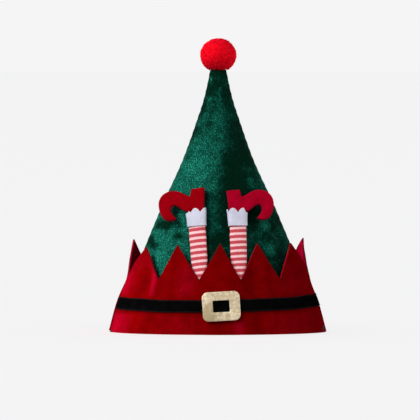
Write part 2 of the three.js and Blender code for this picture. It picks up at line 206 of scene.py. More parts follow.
# %% Lay the floor and hang the lights
FLOOR_REACH = 30.0
FLOOR_CORNERS = 64
FLOOR_PALE = (0.85, 0.85, 0.85, 1)
STUDIO_PALE = (0.913, 0.913, 0.913, 1)
STUDIO_DIM = (0.22, 0.22, 0.23, 1)
WARM_WHITE = (1, 0.99, 0.98)
LIGHTS = {  # place, strength, colour
    "key_light": ((-1.06, -0.83, 0.9), 33, (0.97, 0.99, 1.04)),
    "fill_light": ((1.48, -0.26, 0.52), 9.6, WARM_WHITE),
    "back_light": ((0, 1.6, 0.8), 14, WARM_WHITE),
}
LIGHT_AIM = (0, 0, 0.12)
LIGHT_SIZE = 0.9
FLOOR_LIGHT_PLACE = (0, 0, 2)
FLOOR_LIGHT_STRENGTH = 2.77

floor = put_in_scene("floor", bpy.data.meshes.new("floor"))
floor_edit = bmesh.new()
bmesh.ops.create_circle(floor_edit, cap_ends=True, radius=FLOOR_REACH, segments=FLOOR_CORNERS)
floor_edit.to_mesh(floor.data)
floor_edit.free()
floor_paint, tree, shader = new_material("pale_floor")
fill(tree, shader, {"Base Color": FLOOR_PALE, "Roughness": 0.9})
floor.data.materials.append(floor_paint)
floor.visible_diffuse = False
floor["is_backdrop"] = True

scene.world = bpy.data.worlds.new("studio")
scene.world.use_nodes = True
air = scene.world.node_tree
seen = add(air, "ShaderNodeLightPath").outputs["Is Camera Ray"]
fill(air, air.nodes["Background"], {"Color": blend(air, seen, STUDIO_DIM, STUDIO_PALE)})
scene.view_settings.view_transform = "Standard"


def hang_light(name, place, aim, strength, colour, size=None):
    """A light that shines from one point towards another: a soft area of some size, or else a sun."""
    lamp = put_in_scene(name, bpy.data.lights.new(name, "AREA" if size else "SUN"))
    lamp.data.energy = strength
    lamp.data.color = colour
    if size:
        lamp.data.size = size
    lamp.location = place
    lamp.rotation_euler = (Vector(aim) - Vector(place)).to_track_quat("-Z", "Y").to_euler()
    return lamp


def link_light(lamp, pieces, state):
    """Lets a light shine on some pieces alone, or on everything but them."""
    lit = bpy.data.collections.new(lamp.name + "_pieces")
    for piece in pieces:
        lit.objects.link(piece)
    for linked in lit.collection_objects:
        linked.light_linking.link_state = state
    lamp.light_linking.receiver_collection = lit


for name, (place, strength, colour) in LIGHTS.items():
    link_light(hang_light(name, place, LIGHT_AIM, strength, colour, LIGHT_SIZE), [floor], "EXCLUDE")
above = hang_light("floor_light", FLOOR_LIGHT_PLACE, (0, 0, 0), FLOOR_LIGHT_STRENGTH, (1, 1, 1))
link_light(above, [floor], "INCLUDE")
print("lights:", ", ".join(LIGHTS), "and", above.name)

# %% [markdown]
# ## Meshes out of rows and columns
#
# Most of this hat is hoops of cloth: the crown, the brim, the belt and the cuffs. Each is easily written as
# a grid of points with rows going up and columns going round. A wall is then an outer grid, an inner grid
# and the two edges between them. NumPy works out all the points at once, and Blender gets a finished mesh.

# %% Turn point grids into pieces
SHARP_ANGLE = math.radians(60)


def new_piece(name, points, faces):
    """A smooth mesh object from points in millimetres."""
    mesh = bpy.data.meshes.new(name)
    mesh.from_pydata((np.asarray(points) * MM).tolist(), [], np.asarray(faces).tolist())
    mesh.shade_smooth()
    return put_in_scene(name, mesh)


def hoop(name, *grids):
    """A closed hoop of cloth. Its grids go round it like slices, and the last joins the first."""
    rings = np.concatenate(grids)
    index = np.arange(rings.shape[0] * rings.shape[1]).reshape(rings.shape[:2])
    beside = np.roll(index, -1, axis=1)
    faces = np.stack((index, beside, np.roll(beside, -1, axis=0), np.roll(index, -1, axis=0)), axis=-1)
    return new_piece(name, rings.reshape(-1, 3), faces.reshape(-1, 4))


def mark(piece, name, values):
    """Stores one number for each point of a piece, for its material to read."""
    attribute = piece.data.attributes.new(name, "FLOAT", "POINT")
    attribute.data.foreach_set("value", np.asarray(values, dtype=np.float32).ravel())


def cloth_wall(name, outer, inner, **marks):
    """A hoop with sharp edges from an outer and an inner face. A mark is one for both, or a pair."""
    piece = hoop(name, outer, inner[::-1])
    piece.data.set_sharp_from_angle(angle=SHARP_ANGLE)
    for label, values in marks.items():
        outside, inside = values if isinstance(values, tuple) else (values, values)
        mark(piece, label, np.concatenate((outside, inside[::-1])))
    return piece


def points_of(mesh, what="co"):
    """The points of a mesh as an array, or their normals."""
    points = np.empty(len(mesh.vertices) * 3)
    mesh.vertices.foreach_get(what, points)
    return points.reshape(-1, 3)


def finish_piece(piece, material, slot, *replaced):
    """Gives a piece its finish, and puts it in place of its solids."""
    if not piece.data.materials:
        piece.data.materials.append(material)
    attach(piece, BODY)
    if replaced:
        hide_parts(*replaced)
    triangles = sum(len(face.vertices) - 2 for face in piece.data.polygons)
    print(f"{piece.name}: {triangles} triangles")


def smooth_table(table, heights):
    """Columns of a table at any heights, on smooth curves through its rows."""
    rows = np.array(table, dtype=float)
    known, values = rows[:, 0], rows[:, 1:]
    slopes = np.gradient(values, known, axis=0)
    low = np.clip(np.searchsorted(known, heights) - 1, 0, len(known) - 2)
    span = (known[low + 1] - known[low])[..., None]
    t = (np.asarray(heights) - known[low])[..., None] / span
    start = values[low] * (2 * t**3 - 3 * t**2 + 1) + slopes[low] * span * (t**3 - 2 * t**2 + t)
    end = values[low + 1] * (3 * t**2 - 2 * t**3) + slopes[low + 1] * span * (t**3 - t**2)
    return np.moveaxis(start + end, -1, 0)


def share_of(value, start, end):
    """How far a value is on the way from a start to an end, from 0 to 1."""
    return np.clip((value - start) / (end - start), 0, 1)


def ease(share):
    """The same way from 0 to 1, but starting and ending slowly."""
    return share * share * (3 - 2 * share)


def fade(distance, reach):
    """1 in the middle of a fold, falling smoothly to 0 at the end of its reach."""
    return 0.5 + 0.5 * np.cos(np.pi * np.minimum(1, np.abs(distance) / reach))


def fade_round(turns, degrees, reach):
    """The same round the hat. A turn of 0 is the front, and turns grow towards +X."""
    return fade((np.degrees(turns) - degrees + 180) % 360 - 180, reach)


def bulges(table, turns, heights):
    """Soft bulges added up. Each has a turn, a reach round, a height, a reach up and an amount."""
    return sum(
        amount * fade_round(turns, turn, reach) * fade(heights - level, rise)
        for turn, reach, level, rise, amount in table
    )


def waves(table, turns):
    """Soft waves added up. Each has a turn, a reach round and an amount."""
    return sum(amount * fade_round(turns, turn, reach) for turn, reach, amount in table)


def on_oval(half_width, half_depth, turn, heights):
    """Points on an oval round the hat."""
    return np.stack((half_width * np.sin(turn), -half_depth * np.cos(turn), heights), axis=-1)


print("mesh helpers ready")

# %% [markdown]
# ## Felt
#
# Felt is a mat of fibres pressed together, with no threads and no direction. Four pieces are cut from it:
# the brim, the belt, the cuffs and the shoes. What they share is a fibre pattern, so that is a node group
# of its own: crossing streaks of stretched noise on top of soft patches. Each felt then mixes its own two
# colours by that pattern. Painted light, as a raised nap, and painted shade, as a flat one, have their own
# colours too, and so has the cut edge.

# %% Build the fibre pattern
STREAKS = [((0.16, 1, 0.7), (0.5, 0.4, 0.5)), ((1, 0.7, 0.16), (-0.6, 0.4, -0.6))]  # stretch, turn
STREAK_RANGE = (0.42, 0.74)
STREAK_WEIGHT = 0.45
PATCH_RANGE = (0.32, 0.68)
PATCH_WEIGHT = 0.55
PATCHES_PER_FIBRE = 0.09

fibres, fibre_in, fibre_out = new_group(
    "felt_fibres",
    "ShaderNodeTree",
    {"Place": "Vector", "Fibres per Metre": "Float"},
    {"Shade": "Float", "Height": "Float"},
)
streaks = []
for stretch, turned in STREAKS:
    sockets = {"Vector": fibre_in["Place"], "Scale": stretch, "Rotation": turned}
    mapped = add(fibres, "ShaderNodeMapping", sockets).outputs[0]
    streaks.append(noise(fibres, mapped, fibre_in["Fibres per Metre"], detail=3.0, roughness=0.6))
crossed = maths(fibres, "MAXIMUM", *streaks)
patch_scale = maths(fibres, "MULTIPLY", fibre_in["Fibres per Metre"], PATCHES_PER_FIBRE)
patches = noise(fibres, fibre_in["Place"], patch_scale, detail=4.0, roughness=0.55)
streak_term = (ramp(fibres, crossed, *STREAK_RANGE), STREAK_WEIGHT)
patch_term = (ramp(fibres, patches, *PATCH_RANGE), PATCH_WEIGHT)
fill(fibres, fibre_out, {"Shade": weighted(fibres, streak_term, patch_term), "Height": crossed})
print("fibre pattern:", fibres.name)

# %% [markdown]
# Each felt below is one call with its own colours. Painted light and shade are read from a mark on the
# mesh, as a nap: above 0 it takes the raised colour, a painted highlight, and below 0 the flattened colour,
# a painted shade. Another mark says where the felt was cut.

# %% Mix the felts
UNEVEN_NAP_SHADING = (0.75, 1.2)
CUT_FUZZ = (0.1, 0.8, 0.5, 1.0)
FELT_ROUGHNESS = (0.98, 0.86)


def felt(name, dark, light, edge, raised_and_lit, flattened, sheen, sheen_tint, fibres_per_metre, depth):
    """A felt with its own colours, with painted light where its nap is raised, painted shade where it is
    flattened, and a colour where it is cut.
    """
    material, tree, shader = new_material(name)
    sockets = {"Place": place_in(tree), "Fibres per Metre": fibres_per_metre}
    pattern = add(tree, "ShaderNodeGroup", sockets, node_tree=fibres)
    shade = pattern.outputs["Shade"]
    # The nap mark paints light where it is above 0 and shade where it is below 0.
    nap_shading = maths(tree, "MULTIPLY", stored(tree, "nap"), ramp(tree, shade, 0.0, 1.0, *UNEVEN_NAP_SHADING))
    colour = blend(tree, shade, dark, light)
    colour = blend(tree, maths(tree, "MAXIMUM", nap_shading, 0.0), colour, raised_and_lit)
    nap_shade = maths(tree, "MAXIMUM", maths(tree, "MULTIPLY", nap_shading, -1.0), 0.0)
    # The flattened colour is painted shade.
    colour = blend(tree, nap_shade, colour, flattened)
    fuzz = maths(tree, "MULTIPLY", stored(tree, "cut_edge"), ramp(tree, shade, *CUT_FUZZ))
    look = {
        "Base Color": blend(tree, fuzz, colour, edge),
        "Roughness": ramp(tree, shade, 0.0, 1.0, *FELT_ROUGHNESS),
        "Normal": bumps(tree, pattern.outputs["Height"], strength=0.7, depth=depth),
        "Specular IOR Level": 0.0,
        "Sheen Weight": sheen,
        "Sheen Roughness": 0.45,
        "Sheen Tint": sheen_tint,
    }
    fill(tree, shader, look)
    return material


# The brim's raised colour is a painted pinkish highlight, its flattened colour a painted shade.
brim_felt = felt(
    "brushed_red_felt",
    dark=(0.13, 0.0002, 0.0002, 1),
    light=(0.21, 0.0003, 0.0005, 1),
    edge=(0.15, 0.003, 0.005, 1),
    raised_and_lit=(0.98, 0.002, 0.06, 1),
    flattened=(0.05, 0.0001, 0.0001, 1),
    sheen=0.2,
    sheen_tint=(0.7, 0, 0.09, 1),
    fibres_per_metre=900,
    depth=0.5,
)
belt_felt = felt(
    "matt_black_felt",
    dark=(0.0012, 0.0012, 0.0013, 1),
    light=(0.0034, 0.0033, 0.0035, 1),
    edge=(0.012, 0.012, 0.013, 1),
    raised_and_lit=(0.01, 0.01, 0.01, 1),
    flattened=(0.001, 0.001, 0.001, 1),
    sheen=0.004,
    sheen_tint=(0.8, 0.85, 1, 1),
    fibres_per_metre=1100,
    depth=0.4,
)
cuff_felt = felt(
    "soft_white_felt",
    dark=(0.42, 0.42, 0.49, 1),
    light=(0.53, 0.53, 0.61, 1),
    edge=(0.64, 0.64, 0.7, 1),
    raised_and_lit=(0.66, 0.66, 0.74, 1),
    flattened=(0.4, 0.4, 0.48, 1),
    sheen=0.05,
    sheen_tint=(0.9, 0.92, 1, 1),
    fibres_per_metre=1100,
    depth=0.4,
)
shoe_felt = felt(
    "padded_red_felt",
    dark=(0.19, 0.0004, 0.002, 1),
    light=(0.29, 0.0007, 0.005, 1),
    edge=(0.34, 0.005, 0.022, 1),
    raised_and_lit=(0.46, 0.002, 0.05, 1),
    flattened=(0.09, 0.0002, 0.0006, 1),
    sheen=0.2,
    sheen_tint=(0.7, 0, 0.14, 1),
    fibres_per_metre=1000,
    depth=0.45,
)
print("felts:", brim_felt.name, belt_felt.name, cuff_felt.name, shoe_felt.name)

# %% [markdown]
# ## Crushed velvet
#
# Velvet is a cloth with a dense short pile. Where the pile leans towards the light it shines, and where it
# leans away it is nearly black, so crushed velvet looks speckled and swirled. Real hairs would take
# millions of faces. A material does it better: warped noise decides where the pile stands up or lies down,
# a mark on the mesh adds painted light and painted shade, and together they set the colour, with painted
# glints where the pile is lit, the roughness and a small bump. The sheen of the shader adds the soft glow
# along the folds.

# %% Mix the velvet
VELVET_DEEP = (0.0003, 0.0092, 0.0035, 1)
VELVET_MIDDLE = (0.0022, 0.06, 0.037, 1)
VELVET_BRIGHT = (0.026, 0.36, 0.245, 1)
VELVET_BACKING = (0.003, 0.03, 0.02, 1)
SWIRLS = {"scale": 150.0, "detail": 4.0, "roughness": 0.6, "distortion": 1.8}
SPECKLES = {"scale": 900.0, "roughness": 0.65, "distortion": 0.6}
DRIFTS = {"scale": 32.0, "detail": 3.0, "distortion": 0.6}
SWIRL_LEAN = 0.42
DRIFT_LEAN = 0.58
PAINTED_SHADING_LEAN = 0.2
PILE_RANGE = (0.34, 0.66)
SPECKLE_RANGE = (0.505, 0.63)
GLINT_RANGE = (0.36, 0.70, 0.03, 0.85)
GLINT_ROUGHNESS = (0.78, 0.5)
SPECKLE_HEIGHT = 0.5
SWIRL_HEIGHT = 0.9

green_velvet, tree, shader = new_material("crushed_velvet")
place = place_in(tree)
swirl = noise(tree, place, **SWIRLS)
speckle = noise(tree, place, **SPECKLES)
drift = noise(tree, place, **DRIFTS)
# The mark on the crown paints light (above 0) and shade (below 0) into the pile's lean.
brushed = stored(tree, "brushed_up")
lean_and_light = weighted(tree, (swirl, SWIRL_LEAN), (drift, DRIFT_LEAN), (brushed, PAINTED_SHADING_LEAN))
pile = blend(tree, ramp(tree, lean_and_light, *PILE_RANGE), VELVET_DEEP, VELVET_MIDDLE)
# Painted glints: bright speckle flecks, more of them where the pile takes painted light.
glints = maths(tree, "MULTIPLY", ramp(tree, speckle, *SPECKLE_RANGE), ramp(tree, lean_and_light, *GLINT_RANGE))
pile = blend(tree, glints, pile, VELVET_BRIGHT)
pile_height = weighted(tree, (speckle, SPECKLE_HEIGHT), (swirl, SWIRL_HEIGHT))
velvet_look = {
    "Base Color": blend(tree, stored(tree, "backing"), pile, VELVET_BACKING),
    "Roughness": ramp(tree, glints, 0.0, 1.0, *GLINT_ROUGHNESS),
    "Normal": bumps(tree, pile_height, strength=0.75, depth=1.4),
    "Specular IOR Level": 0.05,
    "Specular Tint": (0.1, 1, 0.7, 1),
    "Sheen Weight": 0.04,
    "Sheen Roughness": 0.4,
    "Sheen Tint": (0.06, 1, 0.65, 1),
}
fill(tree, shader, velvet_look)
print("velvet:", green_velvet.name)

# %% [markdown]
# ## The crown
#
# The crown is two velvet panels sewn together at the sides into a tall cone that is wider than it is deep.
# Its rule is simple: an oval that shrinks as it rises. A primitive cone would be too perfect, so the oval
# comes from a table of sizes, and folds are pushed in and out of it. Broad folds are placed by turn and
# height, and creases are lines drawn on the cloth.

# %% Sew the crown
CROWN_SECTIONS = [  # height, half-width, half-depth
    (0, 116.8, 65.5),
    (30, 106, 60),
    (56, 96, 54.8),
    (100, 78.6, 46),
    (144, 59.9, 36.8),
    (188, 40.2, 27),
    (232, 24.2, 18.2),
    (254, 17, 14),
    (272, 12.6, 11.3),
    (286, 9.6, 9.2),
]
CROWN_TOP = CROWN_SECTIONS[-1][0]
CROWN_FOLDS = [  # turn, reach round, height, reach up, out
    (-54, 16, 96, 26, -2.4),  # dent behind a left point
    (-36, 10, 114, 18, -1.4),  # hollow below the left toe
    (-18, 10, 66, 24, -0.25),  # behind the left leg
    (46, 14, 97, 22, 1.4),  # swelling below the right toe
    (150, 30, 150, 60, -1.8),  # hollow in the back
    (-150, 26, 120, 70, 0.9),
    (176, 22, 200, 60, 0.8),
    (68, 16, 150, 60, -0.7),
    (-76, 14, 170, 60, 0.6),
    (1, 24, 150, 100, 2.0),  # ridge down the front
]
CROWN_CREASES = [  # from and to, each along the cloth from the front and up, then width and out
    ((-49, 121), (-41, 104), 2.8, -2.0),
    ((-44, 124), (-36, 108), 2.8, 1.2),
    ((-62, 112), (-52, 92), 3.4, 1.3),
    ((-76, 102), (-62, 88), 3.2, -1.7),
    ((-80, 110), (-68, 98), 3.4, 1.0),
    ((52, 112), (64, 94), 3.2, 0.8),
    ((44, 104), (58, 84), 3.0, -0.7),
    ((-13, 284), (-4, 281), 2.4, 0.8),
    ((-14, 277), (-3, 275), 2.2, -1.0),
    ((-15, 270), (-5, 269), 2.6, 0.9),
    ((-17, 263), (-3, 261), 2.4, -0.9),
    ((-17, 256), (-8, 257), 2.8, 0.7),
    ((3, 282), (12, 272), 2.4, 0.7),
    ((5, 268), (16, 262), 2.8, -0.8),
    ((-6, 256), (6, 250), 2.4, -0.8),
    ((-14, 247), (-2, 243), 2.6, 0.8),
    ((-12, 238), (-2, 231), 3.0, -1.0),
    ((-24, 214), (-8, 206), 3.2, -0.8),
    ((-26, 190), (-6, 196), 3.4, 0.7),
    ((118, 150), (96, 120), 4.0, -0.9),
    ((-120, 130), (-104, 108), 4.0, 0.8),
    ((-40, 276), (-30, 270), 2.2, -0.7),
    ((28, 278), (38, 271), 2.2, -0.7),
]
CREASE_END_SHARE = 0.35
CROWN_ROWS = 130
CROWN_COLUMNS = 240

turns = np.linspace(0, 2 * np.pi, CROWN_COLUMNS, endpoint=False)[None, :]
heights = np.linspace(0, CROWN_TOP, CROWN_ROWS)[:, None] * np.ones_like(turns)
widths, depths = smooth_table(CROWN_SECTIONS, heights)
plain = on_oval(widths, depths, turns, heights)
steps = np.linalg.norm(np.diff(plain, axis=1, append=plain[:, :1]), axis=-1)
girth = steps.sum(axis=1, keepdims=True)
along = (np.cumsum(steps, axis=1) - steps + girth / 2) % girth - girth / 2

swell = bulges(CROWN_FOLDS, turns, heights)
cloth = np.stack((along, heights), axis=-1)
for start, end, width, out in CROWN_CREASES:
    line = np.subtract(end, start)
    share = np.clip((cloth - start) @ line / (line @ line), 0, 1)
    gap = np.linalg.norm(cloth - start - share[..., None] * line, axis=-1)
    depth = CREASE_END_SHARE + (1 - CREASE_END_SHARE) * np.sin(np.pi * share)
    swell += out * np.exp(-((gap / width) ** 2)) * depth
print("crown girth at the hem:", round(float(girth[0, 0])), "mm")

# %% [markdown]
# The seams come last, because they cut across the folds. At each side the cloth dips into the seam, and
# small puckers sit along it where the stitches draw the velvet in. A few slow waves keep the rest from
# looking like a machined cone. The inner face is the same grid, moved in by the thickness of the cloth. A
# list of patches paints light and shade into the velvet's colour: painted light on the lit side, painted
# shade on the far side, in dents, hollows and creases, under the left toe and under the pompom.

# %% Pull in the seams and close the wall
PAINTED_PILE_PATCHES = [  # turn, reach round, height, reach up, painted light, below 0 painted shade
    (-50, 62, 130, 110, 0.7),  # painted light on the lit side
    (-70, 50, 240, 45, -0.6),
    (2, 30, 238, 36, 0.4),  # painted light below the tip
    (24, 34, 165, 66, -1.0),  # painted shade on the shaded side of the ridge in front
    (50, 30, 185, 50, -0.7),
    (75, 40, 200, 60, -0.4),
    (8, 16, 132, 50, -0.8),
    (-62, 26, 190, 26, -0.45),
    (-8, 10, 158, 12, 0.5),
    (-20, 50, 212, 16, -0.25),
    (-10, 22, 233, 16, 0.35),
    (50, 40, 262, 20, -0.5),
    (-54, 25, 246, 14, -0.5),
    (2, 20, 262, 18, 0.5),
    (0, 16, 106, 20, -0.7),
    (66, 62, 100, 80, -0.25),  # painted shade on the far side
    (72, 26, 160, 14, 0.15),
    (43, 9, 92, 10, 0.9),  # painted highlight on the swelling below the right toe
    (45, 12, 106, 8, -0.3),
    (46, 11, 118, 9, 1.5),
    (60, 10, 116, 8, -0.4),
    (76, 16, 124, 11, -0.8),
    (44, 14, 165, 10, 0.7),
    (62, 12, 181, 9, -0.7),
    (-72, 12, 101, 8, -1.4),  # painted shade in the dent behind a left point
    (-62, 10, 95, 7, -1.7),
    (-53, 15, 119, 9, -2.6),  # painted shadow below the left toe
    (-50, 16, 110, 10, -0.35),
    (-67, 12, 119, 10, -1.2),
    (-36, 9, 118, 7, -0.6),
    (-36, 10, 106, 8, -1.0),
    (-52, 8, 76, 8, 0.7),
    (-20, 40, 262, 10, -0.7),  # painted shade in the creases below the pompom
    (-10, 30, 271, 5, -0.9),
    (-48, 22, 278, 5, 1.6),
    # painted shadow in a ring right under the pompom
    (0, 190, 287, 7, -1.4),
    (180, 70, 120, 120, 0.3),
]
# Painted shade that darkens the top of the crown under the pompom.
TOP_PAINTED_SHADE = 0.6
TOP_REACH = 70
CROWN_TIP_RISE = 5
CROWN_TIP_ROWS = 8
CROWN_TIP_TURN = 0.49 * np.pi
VELVET_WALL = 1.4
SEAM_PULL = 1.1
SEAM_REACH = 3.2
SEAM_FULL_GIRTH = 120
PUCKER_SPACING = 9.0
PUCKER_REACH = 11.0
PUCKER_DEPTH = 0.28
SLOW_WAVE = {"depth": 0.35, "rise": 23, "swing": 3, "twist": 41, "full_height": 60, "full_girth": 150}

seam_gap = np.minimum(np.abs(along - girth / 4), np.abs(along + girth / 4))
swell -= SEAM_PULL * np.exp(-((seam_gap / SEAM_REACH) ** 2)) * np.minimum(1, girth / SEAM_FULL_GIRTH)
pucker = np.sin(2 * np.pi * heights / PUCKER_SPACING + np.sign(along))
swell += PUCKER_DEPTH * pucker * fade(seam_gap, PUCKER_REACH) * (seam_gap > SEAM_REACH / 4)
slow = np.sin(heights / SLOW_WAVE["rise"] + SLOW_WAVE["swing"] * np.sin(turns))
slow = slow * np.sin(2 * turns + heights / SLOW_WAVE["twist"])
slow = slow * np.minimum(1, heights / SLOW_WAVE["full_height"])
swell += SLOW_WAVE["depth"] * slow * np.minimum(1, girth / SLOW_WAVE["full_girth"])


def crown_face(inset):
    """One face of the crown's wall, from the hem up into the rounded tip."""
    out = swell - inset
    cone = on_oval(widths + out, depths + out, turns, heights - inset * heights / CROWN_TOP)
    angles = np.linspace(0, CROWN_TIP_TURN, CROWN_TIP_ROWS + 1)[1:, None, None]
    tip = cone[-1] * np.array((1, 1, 0)) * np.cos(angles)
    tip[..., 2] = cone[-1, 0, 2] + CROWN_TIP_RISE * np.sin(angles[..., 0])
    return np.concatenate((cone, tip))


# The pile's painted light and shade: the patches, less the painted shade under the pompom.
brushed = bulges(PAINTED_PILE_PATCHES, turns, heights) - TOP_PAINTED_SHADE * fade(heights - CROWN_TOP, TOP_REACH)
brushed = np.concatenate((brushed, np.repeat(brushed[-1:], CROWN_TIP_ROWS, axis=0)))
crown = cloth_wall(
    "velvet_crown",
    crown_face(0),
    crown_face(VELVET_WALL),
    backing=(np.zeros_like(brushed), np.ones_like(brushed)),
    brushed_up=brushed,
)
finish_piece(crown, green_velvet, "green_velvet", "crown_front", "crown_back")

# %% [markdown]
# ## The brim
#
# The brim is one long strip of felt, cut into points along one edge, sewn on at the hem and turned up.
# Cutting it out of a cylinder with a knife tool would leave ragged faces. Instead the grid follows the cut:
# its lower rows run level, and its upper rows climb with the points, so every cut edge is a clean row of
# faces. The points differ a little in width and height, as hand-cut felt does, and they lean and curl.

# %% Cut the brim
BRIM_SECTIONS = [  # height, half-width, half-depth
    (0, 119.3, 68),
    (32, 110.6, 64.2),
    (58, 101.2, 61),
    (80, 97.6, 58.4),
    (102, 95.4, 55.6),
]
HEM_HALF_WIDTH, HEM_HALF_DEPTH = BRIM_SECTIONS[0][1:]
VALLEY_HEIGHT = 59.4
FIRST_VALLEY = -21.4
POINTS = [  # width along the valleys, height of the tip, lean round the hat, curl outwards
    (46.5, 99.2, 0.4, 0),
    (45, 98.6, -1.4, 0),
    (59, 98.8, -9.3, 0),
    (42, 102, 6.4, 8.5),
    (42.6, 98, 1.5, 0.4),
    (42.6, 99.4, -0.8, 0),
    (42.6, 97.6, 1, 0.5),
    (42.6, 99, -1.2, 0),
    (56, 100.8, -0.5, 3),
    (52, 94.2, 3.6, 0),
    (46.5, 97.3, -3, 0),
]
BRIM_WAVES = [  # turn, reach round, out
    (23, 9, -0.9),
    (42, 12, 0.8),
    (-37, 10, 0.9),
    (-52, 9, -1),
    (-68, 11, 0.9),
    (125, 16, -0.9),
    (-140, 20, 0.9),
]
WAVE_RISE = 40
BRIM_RIPPLES = [  # turn, reach round, out
    (-38, 4.5, -0.8),  # crease below a left valley
    (-45, 5, 0.5),
    (-31, 5, 0.6),
    (-59, 5, -0.5),
    (-20, 5, 0.4),
    (-10, 5, -0.35),
    (14, 5, 0.3),
    (23, 4, -0.6),  # crease right of the buckle
    (31, 5, 0.5),
    (52, 5, 0.45),
    (62, 5, -0.45),
    (104, 6, 0.5),
    (140, 7, -0.6),
    (171, 8, 0.5),
    (-118, 7, -0.6),
    (-160, 8, -0.5),
]
RIPPLE_RISE = 22
COLUMNS_PER_POINT = 26
ARC_STEPS = 4001

round_turns = np.linspace(0, 2 * np.pi, ARC_STEPS)
valley_size = smooth_table(BRIM_SECTIONS, np.array([VALLEY_HEIGHT]))[:, 0]
valley_oval = on_oval(*valley_size, round_turns, np.zeros_like(round_turns))
arc = np.concatenate(([0], np.cumsum(np.linalg.norm(np.diff(valley_oval, axis=0), axis=1))))
BRIM_GIRTH = arc[-1]


def turn_at(share):
    """The turn at a share of the way round the brim, measured along its valleys."""
    return np.interp(share % 1, arc / BRIM_GIRTH, round_turns)


def brim_surface(turn, height, out):
    """Points on the outside of the brim, or further out."""
    half_width, half_depth = smooth_table(BRIM_SECTIONS, height)
    for table, full_height in ((BRIM_WAVES, WAVE_RISE), (BRIM_RIPPLES, RIPPLE_RISE)):
        out = out + waves(table, turn) * ease(share_of(height, 0, full_height))
    return on_oval(half_width + out, half_depth + out, turn, height)


cut_widths, tips, leans, curls = np.array(POINTS, dtype=float).T
cut_widths = cut_widths / cut_widths.sum()
valleys = FIRST_VALLEY / BRIM_GIRTH + np.cumsum(cut_widths) - cut_widths
across = np.arange(COLUMNS_PER_POINT) / COLUMNS_PER_POINT
shares = (valleys[:, None] + across * cut_widths[:, None]).ravel()
climbs = np.tile(1 - np.abs(2 * across - 1), len(POINTS))
tip_heights, lean_ways, curl_ways = (np.repeat(column, COLUMNS_PER_POINT) for column in (tips, leans, curls))
print("brim girth at the valleys:", round(float(BRIM_GIRTH)), "mm")

# %% [markdown]
# ## The belt's line and the brim's painted light and shade
#
# Light and shade on the brim are painted into the felt's colour as a nap. Where it is marked raised the felt
# is paler and a little purple, a painted highlight, and where it is marked flat it is darker, a painted
# shade. It could be painted on by hand, but a short list of streaks is easier to change. A painted shadow
# of the belt darkens the felt along its edges, and the side that faces the crown gets painted light all
# over, most on the right. The belt isn't quite level: it dips at the front and its right side is a little
# higher.

# %% Paint light and shade on the brim
NAP_LIGHT_AND_SHADE = [  # turn, reach round, lowest and highest height, painted light as raised nap, below 0 painted shade
    (-80, 20, 34, 92, 0.1),
    (-58, 18, 40, 98, 0.03),
    (-52, 10, 34, 72, -0.45),
    (-42, 8, 34, 80, 0.17),
    (-34.5, 8, 32, 72, -0.35),
    (-19, 10, 34, 80, 0.06),
    (15, 12, 34, 84, -0.25),
    (52, 24, 34, 84, 0.02),
    (-72, 24, -20, 30, 0.13),
    (-48, 16, -20, 28, -0.03),
    (-22, 20, -20, 30, 0.03),
    (21, 5, -20, 30, -0.3),
    (11, 5, -20, 30, 0.1),
    (45, 30, -20, 30, 0.04),
    (120, 14, -20, 80, -0.25),
    (155, 16, -20, 90, 0.1),
    (-150, 14, -20, 90, -0.25),
    (-115, 12, -20, 90, 0.1),
]
NAP_FADE = 14
# Painted light on the brim's inner face, stronger on the right.
INNER_FACE_LIGHT = 0.75
INNER_FACE_LIGHT_SWING = 0.25
BELT_WIDTH = 13.2
BELT_FRONT_HEIGHT = 31.4
BELT_SIDE_RISE = 2.3
BELT_TILT_RISE = 1.65
# A painted shadow of the belt on the felt along its edges.
BELT_SHADOW = 0.55
BELT_SHADOW_REACH = 4.5


def belt_line(turn):
    """The height of the belt's middle."""
    return BELT_FRONT_HEIGHT + BELT_SIDE_RISE * np.sin(turn) ** 2 + BELT_TILT_RISE * np.sin(turn)


def brushed_nap(points):
    """Painted light and shade, as a raised or flattened nap, at points on the outside and on the inside of
    the brim.
    """
    turn = np.arctan2(points[..., 0] / HEM_HALF_WIDTH, -points[..., 1] / HEM_HALF_DEPTH)
    height = points[..., 2]
    nap = np.zeros_like(height)
    # Streaks of painted light and painted shade.
    for place, reach, low, high, amount in NAP_LIGHT_AND_SHADE:
        inside = share_of(height, low, low + NAP_FADE) * share_of(height, high, high - NAP_FADE)
        nap += amount * fade_round(turn, place, reach) * inside
    from_belt = height - belt_line(turn)
    # Painted shadow of the belt on the felt below it, and a fainter one above it.
    nap -= BELT_SHADOW * fade(from_belt + BELT_WIDTH / 2, BELT_SHADOW_REACH)
    nap -= BELT_SHADOW / 2 * fade(from_belt - BELT_WIDTH / 2, BELT_SHADOW_REACH / 2)
    # The inner face gets painted light, most on the right side.
    return nap, INNER_FACE_LIGHT + INNER_FACE_LIGHT_SWING * np.sin(turn)


print("belt at the front:", BELT_FRONT_HEIGHT, "mm up")

# %% [markdown]
# The wall of the brim follows the hem, the level rows and the climbing rows. Its cut edge gets a mark, from
# 1 on the edge to 0 a little inside, so that its material can show the fibres there. The same mark tells
# Geometry Nodes later where loose fibres stick out.

# %% Shape the brim's wall
EDGE_REACH = 1.3
HEM_LIFTS = [(84, 15, 1.4), (-84, 12, 0.6)]  # turn, reach round, up
BODY_HEIGHT = 54
BODY_ROWS = 26
POINT_ROWS = 24
FELT_WALL = 1.7


